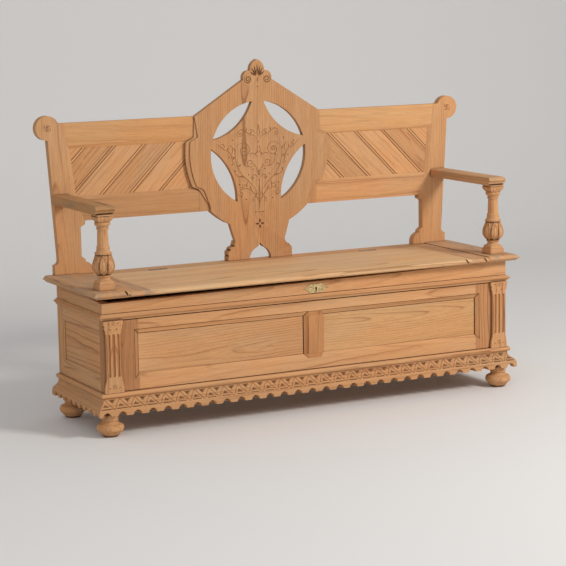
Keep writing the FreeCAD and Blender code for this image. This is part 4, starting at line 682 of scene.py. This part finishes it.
def leaf(x, z, direction, width, length, depth=2.2):
    """A leaf chip: a pointed oval on the face with its deepest point near the stem."""
    angle = math.radians(direction)
    along, across = (math.cos(angle), math.sin(angle)), (-math.sin(angle), math.cos(angle))
    rim = []
    for t, side in LEAF_EDGE:
        rim.append((x + along[0] * length * t + across[0] * width / 2 * side,
                    z + along[1] * length * t + across[1] * width / 2 * side))
    deep = (x + along[0] * length * 0.4, z + along[1] * length * 0.4)
    return rim, deep, depth


def leaf_cutter(chip, y=face, raised=0.0003):
    rim, deep, depth = chip
    return pit(on_face(rim, y, -raised), on_face([deep], y, depth * MM)[0])


def dot_cutter(x, z, radius=2.6, depth=3.0, y=face):
    rim = [(x + radius * math.cos(a * math.pi / 4), z + radius * math.sin(a * math.pi / 4)) for a in range(8)]
    return pit(on_face(rim, y, -0.0003), on_face([(x, z)], y, depth * MM)[0])


cutters = []
for line in VINE:
    for half in (line, flipped(line)):
        cutters.append(tube(on_face(half, sink=-0.0001), 1.15 * MM))
for x, z, direction, width, length in LEAVES:
    cutters.append(leaf_cutter(leaf(x, z, direction, width, length)))
    cutters.append(leaf_cutter(leaf(-x, z, 180 - direction, width, length)))
vine_cutters, cutters = cutters, []
for x, z in DOTS:
    for centre in {x, -x}:
        cutters.append(dot_cutter(centre, z))
cutters.append(tube(on_face([(-13, 667), (0, 667), (13, 667)]), 0.9 * MM))
for direction in (0, 90, 180, 270):
    x, z = 2.2 * math.cos(math.radians(direction)), 623.5 + 2.2 * math.sin(math.radians(direction))
    cutters.append(leaf_cutter(leaf(x, z, direction, 9.5, 18, 4.0)))
# the foot's scrolled edges are notched from front to back
for x, z, radius in ((132, 513, 3.4), (125, 534, 3.6), (108, 548, 3.0)):
    for side in (1, -1):
        notch = [(side * x * MM, face + deep, z * MM) for deep in (-0.002, 0.040)]
        cutters.append(tube(notch, radius * MM, ends=1.0, sides=10))

# the finial: volutes, the fan of leaves between them and its stem
for side in (1, -1):
    volute = [(side * x, z) for x, z in spiral(38, 1153, 17, 3, 60, -1.8, 44)]
    cutters.append(tube(on_face(volute, sink=-0.0002), 1.9 * MM))
    for lean, long, wide in ((14, 44, 6.5), (32, 40, 7), (54, 32, 6.5)):
        petal = leaf(side * (2 + lean * 0.06), 1163, 90 - side * lean, wide, long, 4.0)
        cutters.append(leaf_cutter(petal))
cutters.append(leaf_cutter(leaf(0, 1164, 90, 6.5, 50, 4.0)))
cutters.append(tube(on_face([(0, 1140), (0, 1150), (0, 1160)]), 1.6 * MM))

# the arch under the foot ends in a small point
cutters.append(prism([(-14, 536), (14, 536), (5, 545), (0, 553), (-5, 545)], face - 0.005, face + 0.080))

stain = stained("stain_splat", WOOD["back_splat"], 0.45)
splat = piece_from(packed_shape("back_splat"), "back_splat_carved", [WOOD["back_splat"]])
soften(splat, 1.6 * MM)
carve(splat, vine_cutters, stained("stain_vine", WOOD["back_splat"], 0.74))
carve(splat, cutters, stain)
stand_for(splat, "back_splat")
print("carved splat faces:", len(splat.data.polygons))

# %% [markdown]
# ## Posts with round ears
# Each back post ends in a round ear with a small incised rosette: a ring and curls round it. The
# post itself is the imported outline, eased like the boards.

# %% Cut the ears
ear_x, ear_z = 812, 1013
for hand, side in (("left", -1), ("right", 1)):
    name = f"back_post_{hand}"
    post_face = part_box(name)[0].y
    post = piece_from(packed_shape(name), name + "_carved", [WOOD[name]])
    soften(post, 1.6 * MM)
    ring = [(side * ear_x + 5 * math.cos(a), ear_z + 5 * math.sin(a))
            for a in (math.radians(10 * step) for step in range(37))]
    lines = [ring]
    for turn in (20, 200):
        lines.append(spiral(side * ear_x, ear_z, 12, 7.5, turn, 0.33, 14))
        lines.append(spiral(side * ear_x, ear_z, 15, 10, turn + 95, 0.20, 12))
    cutters = [tube(on_face(line, post_face, -0.0001), 1.2 * MM) for line in lines]
    for turn in range(4):
        x = side * ear_x + 1.5 * math.cos(turn * math.pi / 2)
        z = ear_z + 1.5 * math.sin(turn * math.pi / 2)
        cutters.append(leaf_cutter(leaf(x, z, 90 * turn + 45, 2.2, 3.2, 1.5), post_face))
    carve(post, cutters, stained(f"stain_post_{hand}", WOOD[name]))
    stand_for(post, name)

# %% [markdown]
# ## Diagonal boards
# The back is filled with narrow boards set at 45 degrees. Each was cut from another place in the
# plank, so tone and figure jump from board to board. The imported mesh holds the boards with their
# beads; its faces are sorted by board and given one of three woods in turn.

# %% Give each diagonal board its own timber
# heart, aside, ring, tone and contrast of the three woods
PLANKS = ((0.10, 0.02, 0.0130, 1.04, 0.7), (0.13, 0.10, 0.0090, 0.94, 1.1), (0.09, -0.05, 0.0150, 1.08, 0.6))
for hand, side in (("left", 1), ("right", -1)):
    name = f"diagonal_boards_{hand}"
    low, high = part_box(name)
    middle = (low + high) / 2
    woods = [wood(f"{name}_{number}", middle, (1, 0, side), Y, heart=heart, aside=aside, ring=ring,
                  tone=tone, figure=1.5, contrast=contrast)
             for number, (heart, aside, ring, tone, contrast) in enumerate(PLANKS)]
    woods.append(stained(f"stain_{name}", woods[0], 0.62))
    shape = bmesh.new()
    shape.from_mesh(frame["nodes"][name].data)
    shape.verts.ensure_lookup_table()
    # connected corners belong to one board
    board_of, count = {}, 0
    for start in shape.verts:
        if start in board_of:
            continue
        board_of[start], waiting = count, [start]
        while waiting:
            corner = waiting.pop()
            for edge in corner.link_edges:
                other = edge.other_vert(corner)
                if other not in board_of:
                    board_of[other] = count
                    waiting.append(other)
        count += 1
    centres = {}
    for corner, board in board_of.items():
        centres.setdefault(board, []).append(corner.co.x - side * corner.co.z)
    for polygon in shape.faces:
        places = centres[board_of[polygon.verts[0]]]
        across = (min(places) + max(places)) / 2
        polygon.material_index = int(abs(across) * 1000 / 60) % 3
        # the slanting faces of the beads at the front are stained
        if low.y - 0.001 < polygon.calc_center_median().y < low.y + 0.002 and abs(polygon.normal.y) < 0.97:
            polygon.material_index = 3
    boards = piece_from(shape, name + "_boards", woods)
    stand_for(boards, name)
    print(name, "groups of corners:", count)

# %% [markdown]
# ## Turned and carved arm supports
# A support starts on the lathe as a vase shape between two square blocks. Then the belly was carved
# into eight leaf-shaped lobes, the shaft was reeded and the top block cut into leaves. The whole
# surface can be written as one radius for every height and angle, so it is built as a fine grid:
# grooves and ribs are real hollows, and the join from square to round comes free.

# %% The radius of a support at a height and an angle
PROFILE = [(496, 30), (516, 30), (517, 26.6), (526, 25.6), (527, 23.6), (531, 21.0), (534, 20.2), (540, 20.4),
           (541.5, 23.6), (545, 24.2), (547.5, 21), (549, 25.5), (553, 29.5), (560, 34.8), (568, 38.0),
           (576, 38.8), (586, 37.6), (598, 33.6), (608, 29.4), (615, 26.6), (616.5, 29.2), (621, 29.6),
           (622.5, 25.8), (628, 23.4), (634, 22.4), (643, 21.8), (645, 19.6), (670, 18.8), (698, 17.6),
           (700, 20.6), (704, 21.2), (706, 19.2), (710, 20.0), (713, 25.0), (718, 27.4), (722, 26.8),
           (724, 24.0), (726, 25.5), (735, 28.4), (742, 31.0), (744, 28.6), (750, 29.2)]
SQUARE = [(496, 1), (517, 1), (526, 0.9), (530, 0.3), (534, 0), (722, 0), (727, 0.55), (734, 1), (750, 1)]


def read_off(table, at):
    """The value of a table of steps at a place, read along straight lines."""
    for (low, first), (high, second) in zip(table, table[1:]):
        if at <= high:
            return first + (second - first) * (at - low) / (high - low)
    return table[-1][1]


def hump(value, middle, width):
    """1 at the middle and falling softly to 0 at the width."""
    distance = abs(value - middle) / width
    return 0.0 if distance >= 1 else (1 - distance * distance) ** 2


def support_radius(z, angle):
    radius = read_off(PROFILE, z)
    squareness = read_off(SQUARE, z)
    if 549 < z < 616:
        # eight lobes: a deep groove between them, a raised border and a sunk, ribbed field
        lobe = math.degrees(angle) % 45 - 22.5
        height = (z - 549) / 67
        half_leaf = 19.5 * math.sin(math.pi * min(1, height ** 0.75 * 1.02)) ** 0.55 if height < 0.98 else 0
        if abs(lobe) > half_leaf:
            radius -= 4.6 * min(1, (abs(lobe) - half_leaf) / 2.5 + 0.4)
        elif abs(lobe) < half_leaf - 5.5:
            radius -= 1.5 - 1.3 * hump(lobe, 0, 3.5)
        else:
            radius += 0.5
    if 645 < z < 697:
        # shallow reeds up the shaft, which fade out at both ends
        fade = min(1, (z - 645) / 4, (697 - z) / 4)
        radius -= 1.1 * fade * (1 - abs(math.sin(6 * angle))) ** 2
    if 624 < z < 643:
        # a row of pricked dots round the sleeve
        dot = math.degrees(angle) % 24 - 12
        radius -= 1.8 * hump(dot, 0, 4.5) * hump(z, 636, 3.0) + 0.9 * hump(z, 630, 1.2)
    if 713 < z < 722:
        radius -= 1.0 * hump(math.degrees(angle) % 30 - 15, 0, 3.0)
    if squareness > 0:
        to_side = max(abs(math.cos(angle)), abs(math.sin(angle)))
        radius = radius * (1 - squareness) + squareness * min(radius / to_side, radius * 1.36)
    if 725 < z < 746:
        # leaves on the block: one at the middle of each face, half leaves at its corners
        face_angle = (math.degrees(angle) + 45) % 90 - 45
        up = (z - 725) / 21
        for middle, wide in ((0, 9.5), (25, 7.5), (-25, 7.5), (45, 8.5), (-45, 8.5)):
            spread = wide * (0.45 + 0.9 * up) * (1 - 0.75 * up ** 5)
            radius += 2.4 * hump(face_angle, middle, spread) * min(1, 3 * (1 - up) + 0.25)
            radius -= 0.9 * hump(face_angle, middle, 1.6)
        radius -= 2.6
    return radius


# %% Build the supports
def grid_body(name, x, y, heights, around, radius_of, materials):
    """A closed body round an upright axis, from a radius for each height and angle."""
    shape = bmesh.new()
    rings = []
    for z in heights:
        ring = []
        for step in range(around):
            angle = 2 * math.pi * step / around
            radius = radius_of(z, angle)
            ring.append(shape.verts.new(mm(x + radius * math.cos(angle), y + radius * math.sin(angle), z)))
        rings.append(ring)
    for lower, upper in zip(rings, rings[1:]):
        for step in range(around):
            following = (step + 1) % around
            shape.faces.new((lower[step], lower[following], upper[following], upper[step]))
    shape.faces.new(rings[0][::-1])
    shape.faces.new(rings[-1])
    return piece_from(shape, name, materials)


def fine_heights(low, high, table, pitch=1.3):
    """Heights for a grid: every step of the profile and even steps between."""
    heights = sorted({z for z, _ in table if low <= z <= high})
    result = []
    for first, second in zip(heights, heights[1:]):
        steps = max(1, round((second - first) / pitch))
        result += [first + (second - first) * step / steps for step in range(steps)]
    return result + [heights[-1]]


for hand in ("left", "right"):
    name = f"arm_support_{hand}"
    low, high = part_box(name)
    middle = (low + high) / 2 / MM
    support = grid_body(name + "_carved", middle.x, middle.y, fine_heights(496, 750, PROFILE), 160,
                        support_radius, [WOOD[name]])
    soften(support, 0)
    stand_for(support, name)
print("support faces:", len(support.data.polygons))

# %% [markdown]
# ## Corner pilasters
# A pilaster is a thin upright stuck on each front corner: a pedestal that flares at its foot, a
# fluted shaft and a capital whose sides swell out like brackets. Pedestal and capital carry a small
# carved flower. The outline is sawn from one board; then the flutes and petals are cut.

# %% Saw the outline and cut flutes and flowers
# leaves on capital and pedestal: distance from the middle, height, lean, width, length and depth
CAPITAL_LEAVES = ((12, 384, 60, 5, 12, 2.5), (8, 362, 35, 5, 14, 2.5), (13, 166, 70, 4.5, 11, 2.2))
HALF_PILASTER = [(35, 150), (34, 170), (31, 184), (28.5, 192), (27, 202), (27, 350), (28.5, 352), (28.5, 357),
                 (29.5, 364), (32.5, 371), (33, 374), (31.5, 376), (31.5, 379), (35, 382), (35, 396)]


def flower(x, z, front, petals=6, reach=9.0):
    """The pits of a small carved flower, seen on a face."""
    pits = []
    for petal in range(petals):
        direction = 90 + 360 * petal / petals
        start = (x + 2.2 * math.cos(math.radians(direction)), z + 2.2 * math.sin(math.radians(direction)))
        pits.append(leaf_cutter(leaf(*start, direction, 4.4, reach - 2.2, 2.2), front))
    return pits


for hand in ("left", "right"):
    name = f"pilaster_{hand}"
    low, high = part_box(name)
    middle = (low.x + high.x) / 2 / MM
    outline = [(middle + x, z) for x, z in HALF_PILASTER] + [(middle - x, z) for x, z in HALF_PILASTER[::-1]]
    board = piece_from(prism(outline, low.y, high.y), name + "_carved", [WOOD[name]])
    soften(board, 1.5 * MM)
    cutters = []
    for offset in (-16.5, 0, 16.5):
        line = [((middle + offset) * MM, low.y - 0.8 * MM, z * MM)
                for z in (205, 207, 212, 260, 300, 344, 349, 351)]
        cutters.append(tube(line, 4.8 * MM, ends=0.55, sides=12))
    for offset in (-24.6, 24.6):
        line = [((middle + offset) * MM, low.y + 0.2 * MM, z * MM) for z in (203, 260, 300, 352)]
        cutters.append(tube(line, 1.2 * MM))
    cutters += flower(middle, 172, low.y) + flower(middle, 388, low.y, 5, 8)
    for side in (-1, 1):
        for x, z, lean, *size in CAPITAL_LEAVES:
            cutters.append(leaf_cutter(leaf(middle + side * x, z, 90 - side * lean, *size), low.y))
    cutters.append(tube(on_face([(middle - 35, 379.5), (middle + 35, 379.5)], low.y), 0.9 * MM))
    carve(board, cutters, stained(f"stain_{name}", WOOD[name], 0.90))
    stand_for(board, name)

# %% [markdown]
# ## The plinth's chip carving
# Under the bead runs a band of zigzag. Three-sided chips above and below leave a bright ridge, and
# one groove splits the ridge in two. The apron flares, so the depth of each cut is read off
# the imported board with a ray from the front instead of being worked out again.

# %% Carve the zigzag band
plinth = piece_from(packed_shape("plinth_front"), "plinth_front_carved", [WOOD["plinth_front"]])
bpy.context.view_layer.update()


def plinth_point(x, z, sink=0.0):
    """The point of the apron's face behind a place in the front view, all in millimetres."""
    hit, where, _, _ = plinth.ray_cast(Vector((x * MM, -1.0, z * MM)), Vector((0, 1, 0)))
    if not hit:
        raise ValueError(f"no apron at {x}, {z}")
    return (where.x, where.y + sink * MM, where.z)


def between_points(first, second, steps):
    return [(first[0] + (second[0] - first[0]) * t / steps, first[1] + (second[1] - first[1]) * t / steps)
            for t in range(steps + 1)]


# the number of scallops, and how far the outermost are from the middle
SCALLOPS, OUTERMOST = 30, 803
BAND_LOW, BAND_HIGH, BAND_END = 98, 130, 815
pitch = 2 * OUTERMOST / (SCALLOPS - 1)
cutters, grooves = [], []
for number in range(SCALLOPS):
    apex = -OUTERMOST + pitch * number
    for side in (-1, 1):
        if abs(apex + side * pitch / 2) < BAND_END:
            line = between_points((apex + side * pitch / 2, BAND_LOW), (apex, BAND_HIGH), 8)
            grooves.append(tube([plinth_point(x, z, -0.4) for x, z in line], 1.7 * MM, ends=0.8, sides=6))
    rim = [plinth_point(apex + x, z, -1.2) for x, z in ((-18, 99), (18, 99), (0, 120))]
    cutters.append(pit(rim, plinth_point(apex - 3, 107, 9)))
    valley = apex + pitch / 2
    if valley < 790:
        rim = [plinth_point(valley + x, z, -1.2) for x, z in ((0, 110), (15, 129.5), (-15, 129.5))]
        cutters.append(pit(rim, plinth_point(valley - 2, 122, 6.5)))
carve(plinth, grooves, stained("stain_zigzag", WOOD["plinth_front"], 0.86))
carve(plinth, cutters, stained("stain_plinth", WOOD["plinth_front"], 0.50))
soften(plinth, 0)
stand_for(plinth, "plinth_front")
print("cuts in the plinth:", len(cutters) + len(grooves))

# %% [markdown]
# ## Joints of the front frame
# Boards move with the seasons, and old stain stays in the seams, so every bevel of the front frame
# is outlined by a thin dark line. The lines are shallow grooves along the edges of the bevels, over
# their mitred corners and along the two mouldings. The muntin runs on between the mitres. The upper
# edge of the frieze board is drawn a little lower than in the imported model, because the photograph
# shows the dark gap under the lid running on past the lock.

# %% Seams round the panels and along the mouldings
# heights of the joints under and over the waist moulding and over the bead, and how far they run
UNDER_WAIST, OVER_WAIST, OVER_BEAD, SEAM_END = 394.6, 418.8, 151.0, 799
frame_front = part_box("front_top_rail")[0].y / MM
edge_low, edge_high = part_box("front_bottom_rail")[1].z / MM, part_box("front_top_rail")[0].z / MM
muntin_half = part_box("front_muntin")[1].x / MM
panel_end = 670
BEVEL, BEVEL_DEPTH, FRIEZE_DROP = 15, 8, 9


def seam(corners, radius, steps=10):
    """A groove along straight lines between places (x, y, z in millimetres)."""
    path = []
    for first, second in zip(corners, corners[1:]):
        path += [tuple((a + (b - a) * t / steps) * MM for a, b in zip(first, second)) for t in range(steps)]
    return tube(path + [tuple(value * MM for value in corners[-1])], radius * MM, ends=1.0, sides=6)


def seams_round(start, end, sides):
    """The seams of one opening: the bevel over it, and the upright bevels at the given sides."""
    top, low = edge_high + BEVEL, edge_low - BEVEL
    sunk = frame_front + BEVEL_DEPTH + 1.5
    seams = [seam([(start, sunk, edge_high), (end, sunk, edge_high)], 1.9),
             seam([(start - BEVEL, frame_front, top), (end + BEVEL, frame_front, top)], 1.3)]
    for x, away in ((start, -BEVEL), (end, BEVEL)):
        if x in sides:
            seams.append(seam([(x, sunk, edge_low), (x, sunk, edge_high)], 2.2))
            seams.append(seam([(x + away, frame_front, low), (x + away, frame_front, top)], 1.0))
            for z, beyond in ((edge_low, low), (edge_high, top)):
                seams.append(seam([(x, frame_front + BEVEL_DEPTH, z), (x + away, frame_front, beyond)], 1.3))
    return seams


def muntin_end(z, up, front=0.0):
    """The end of the muntin between the mitres, which runs on into a rail as far as its bevel."""
    shape = bmesh.new()
    far = z + BEVEL * up
    flat = muntin_half - BEVEL
    places = [(-muntin_half, z, BEVEL_DEPTH), (-flat, z, 0), (flat, z, 0), (muntin_half, z, BEVEL_DEPTH),
              (flat, far, 0), (-flat, far, 0)]
    near = [shape.verts.new(mm(x, frame_front + deep + front, height)) for x, height, deep in places]
    back = [shape.verts.new(mm(x, frame_front + 10, height)) for x, height, _ in places]
    shape.faces.new((near[1], near[2], near[4], near[5]))
    shape.faces.new((near[0], near[1], near[5]))
    shape.faces.new((near[2], near[3], near[4]))
    shape.faces.new(back[::-1])
    return close_sides(shape, near, back)


def seam_along(z, radius):
    return seam([(-SEAM_END, frame_front, z), (SEAM_END, frame_front, z)], radius)


FRAME = ("front_panel_left", "front_panel_right", "front_muntin", "front_stile_left", "front_stile_right",
         "front_top_rail", "front_bottom_rail", "frieze_board")
for name in FRAME:
    shape = packed_shape(name)
    low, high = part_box(name)
    if name == "frieze_board":
        for vertex in shape.verts:
            if vertex.co.z > high.z - 0.001 and 0.1 < vertex.co.x < 0.7:
                vertex.co.z -= FRIEZE_DROP * MM
    board = soften(piece_from(shape, name + "_seamed", [WOOD[name]]), 1.5 * MM)
    if name == "frieze_board":
        cutters = [seam_along(OVER_WAIST, 1.2)]
    else:
        cutters = seams_round(-panel_end, -muntin_half, (-panel_end, -muntin_half))
        cutters += seams_round(muntin_half, panel_end, (panel_end,))
        cutters += [seam_along(UNDER_WAIST, 2.2), seam_along(OVER_BEAD, 1.6)]
    stain = stained(f"stain_{name}", WOOD[name], 0.42)
    if name == "front_top_rail":
        carve(board, [muntin_end(edge_high - 0.4, 1, -3)], WOOD[name])
    if name == "front_bottom_rail":
        carve(board, [muntin_end(edge_low + 0.4, -1, -3)], WOOD[name])
    carve(board, cutters, stain)
    stand_for(board, name)
for label, z, up in (("top", edge_high, 1), ("bottom", edge_low, -1)):
    end = soften(piece_from(muntin_end(z, up), f"muntin_end_{label}", [WOOD["front_muntin"]]), 0)
    if up > 0:
        flat, foot, head = muntin_half - BEVEL, frame_front + BEVEL_DEPTH, z + BEVEL
        path = [(-muntin_half, foot, z), (-flat, frame_front, head), (flat, frame_front, head),
                (muntin_half, foot, z)]
        carve(end, [seam(path, 1.8)], stained("stain_muntin_end", WOOD["front_muntin"], 0.30))
    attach(end, BODY_OF["front_muntin"])
print("seamed boards:", len(FRAME))

# %% [markdown]
# ## Seat boards with their knocks
# The moulded front edge has been kicked and chipped for a century. The dents are cut from the eased
# boards: small chips along the lower edge, and deeper breaks where the lid meets the seat ends,
# because the end grain of a cleat splits off there first.

# %% Chip the front edge of the seat
def chip_row(name, places):
    """Ragged chips on a seat board's front edge; places are spans along the bench in millimetres."""
    draw = random.Random(name)
    low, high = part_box(name)
    cutters = []
    for start, end, count in places:
        for _ in range(count):
            x = draw.uniform(start, end)
            long = draw.uniform(3.0, 8.0)
            z = (low.z + draw.uniform(0.0, 0.3) * (high.z - low.z)) / MM
            y = low.y / MM + 0.6
            path = [mm(x - long, y - 0.6, z + draw.uniform(-1, 1)), mm(x, y, z),
                    mm(x + long, y - 0.6, z + draw.uniform(-1, 1))]
            cutters.append(tube(path, draw.uniform(1.4, 3.2) * MM, ends=0.2, sides=6))
    return cutters


def break_out(x, name):
    """A break that runs over the moulded edge beside a joint."""
    low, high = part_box(name)
    y, top = low.y / MM, high.z / MM
    split = [mm(x - 1, y + 16, top + 0.6), mm(x, y + 8, top - 3), mm(x + 3, y + 2, top - 10),
             mm(x + 1, y - 1, top - 16)]
    chip = [mm(x + 8, y + 1, top - 12), mm(x + 11, y - 0.5, top - 15), mm(x + 15, y + 1, top - 14)]
    return [tube(split, 3.8 * MM, ends=0.5), tube(chip, 3.4 * MM, ends=0.5)]


SEAT = {
    "lid_board_front": [(-600, 0, 7), (60, 590, 26)],
    "lid_cleat_left": [], "lid_cleat_right": [(640, 700, 5)],
    "seat_end_left": [(-800, -720, 2)], "seat_end_right": [(715, 800, 4)],
    "lid_board_rear": [],
}
BREAKS = {"seat_end_left": -724, "lid_cleat_right": 690, "lid_board_front": 612}
for name, places in SEAT.items():
    shape = packed_shape(name)
    if name in ("lid_cleat_right", "lid_cleat_left"):
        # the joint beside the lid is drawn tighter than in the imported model, as a thin line
        outside = 1 if name.endswith("right") else -1
        for vertex in shape.verts:
            if abs(vertex.co.x) > abs(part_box(name)[outside > 0].x) - 0.0005:
                vertex.co.x += outside * 0.8 * MM
    board = piece_from(shape, name + "_worn", [WOOD[name]])
    soften(board, 0.7 * MM if "right" in name else 1.1 * MM)
    cutters = chip_row(name, places)
    if name in BREAKS:
        cutters += break_out(BREAKS[name], name)
    if cutters:
        carve(board, cutters, stained(f"stain_{name}", WOOD[name], 0.30))
    stand_for(board, name)

# %% Arms
for name in ("arm_left", "arm_right"):
    ease(name, 1.6 * MM, "_worn")

# %% [markdown]
# ## Turned feet
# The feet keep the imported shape, which already has the belly and the small cut line of the lathe.
# Only their shading is smoothed, so the lathe's round shows without facets.

# %% Feet
for end in ("front", "rear"):
    for hand in ("left", "right"):
        ease(f"foot_{end}_{hand}", 0, "_turned")

# %% [markdown]
# ## Metal
# The keyhole plate is thin brass that has been polished and dulled again, so its colour drifts and
# its roughness is uneven. Hinges, lock and screws are plain iron gone brown, as iron does inside a
# chest. Both materials have small pits, and both are painted darker in their corners, as shade.

# %% Brass and old iron
def metal(name, bright, dull, rough, spots, corner_shade_colour, metallic=1.0):
    material = bpy.data.materials.new(name)
    material.use_nodes = True
    tree = material.node_tree
    shader = tree.nodes["Principled BSDF"]
    shader.inputs["Metallic"].default_value = metallic
    place = node(tree, "TexCoord").outputs["Object"]
    cloud = noise(tree, place, 5.0, 0.6, spots).outputs["Fac"]
    speckle = noise(tree, place, 3.0, 0.5, spots * 9).outputs["Fac"]
    colour = blend_colours(tree, remap(tree, cloud, 0.38, 0.66), bright, dull)
    # painted shade: darker in corners, where other surfaces are within 4 mm
    closeness = node(tree, "AmbientOcclusion", {"samples": 6}, Distance=0.004).outputs["AO"]
    colour = blend_colours(tree, remap(tree, closeness, 0.35, 0.9, 0.7, 0.0), colour, corner_shade_colour)
    tree.links.new(colour, shader.inputs["Base Color"])
    uneven = arithmetic(tree, "ADD", remap(tree, cloud, 0.3, 0.7, rough, rough + 0.18),
                        remap(tree, speckle, 0.4, 0.7, -0.05, 0.08))
    tree.links.new(uneven, shader.inputs["Roughness"])
    bump = node(tree, "Bump", {}, Height=speckle, Strength=0.25, Distance=0.0003)
    tree.links.new(bump.outputs[0], shader.inputs["Normal"])
    return material


# colours are given bright, dull and the painted shade of the corners
brass = metal("dulled_brass", (0.70, 0.53, 0.27), (0.42, 0.29, 0.13), 0.38, 160, (0.08, 0.05, 0.02), 0.85)
iron = metal("brown_iron", (0.30, 0.22, 0.16), (0.16, 0.10, 0.07), 0.55, 220, (0.04, 0.025, 0.018), 0.7)
IRON = ("hinge_fixed_leaves", "hinge_lid_leaves", "hinge_pins", "lock_case", "lock_bolt", "lock_staple",
        "carcass_screws", "lid_screws")
for name in IRON:
    dress(name, iron)

# %% The keyhole plate, with engraved lines
plate = piece_from(packed_shape("escutcheon"), "escutcheon_engraved", [brass])
soften(plate, 0.35 * MM)
low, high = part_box("escutcheon")
centre_x, centre_z = (low.x + high.x) / 2 / MM, (low.z + high.z) / 2 / MM
cutters = []
for side in (-1, 1):
    for reach, rise in ((40, 3.5), (33, 6.5)):
        places = ((11, -rise), (22, -rise * 1.1), (reach, 0), (22, rise * 1.1), (11, rise))
        line = curve_points([(centre_x + side * x, centre_z + z) for x, z in places], 5)
        cutters.append(tube(on_face(line, low.y, 0.0), 0.45 * MM, sides=5))
    cutters.append(dot_cutter(centre_x + side * 43, centre_z, 1.5, 1.0, low.y))
dark_brass = metal("brass_in_the_cuts", (0.30, 0.22, 0.10), (0.20, 0.14, 0.06), 0.5, 160,
                   (0.05, 0.03, 0.02), 0.6)
carve(plate, cutters, dark_brass)
stand_for(plate, "escutcheon")
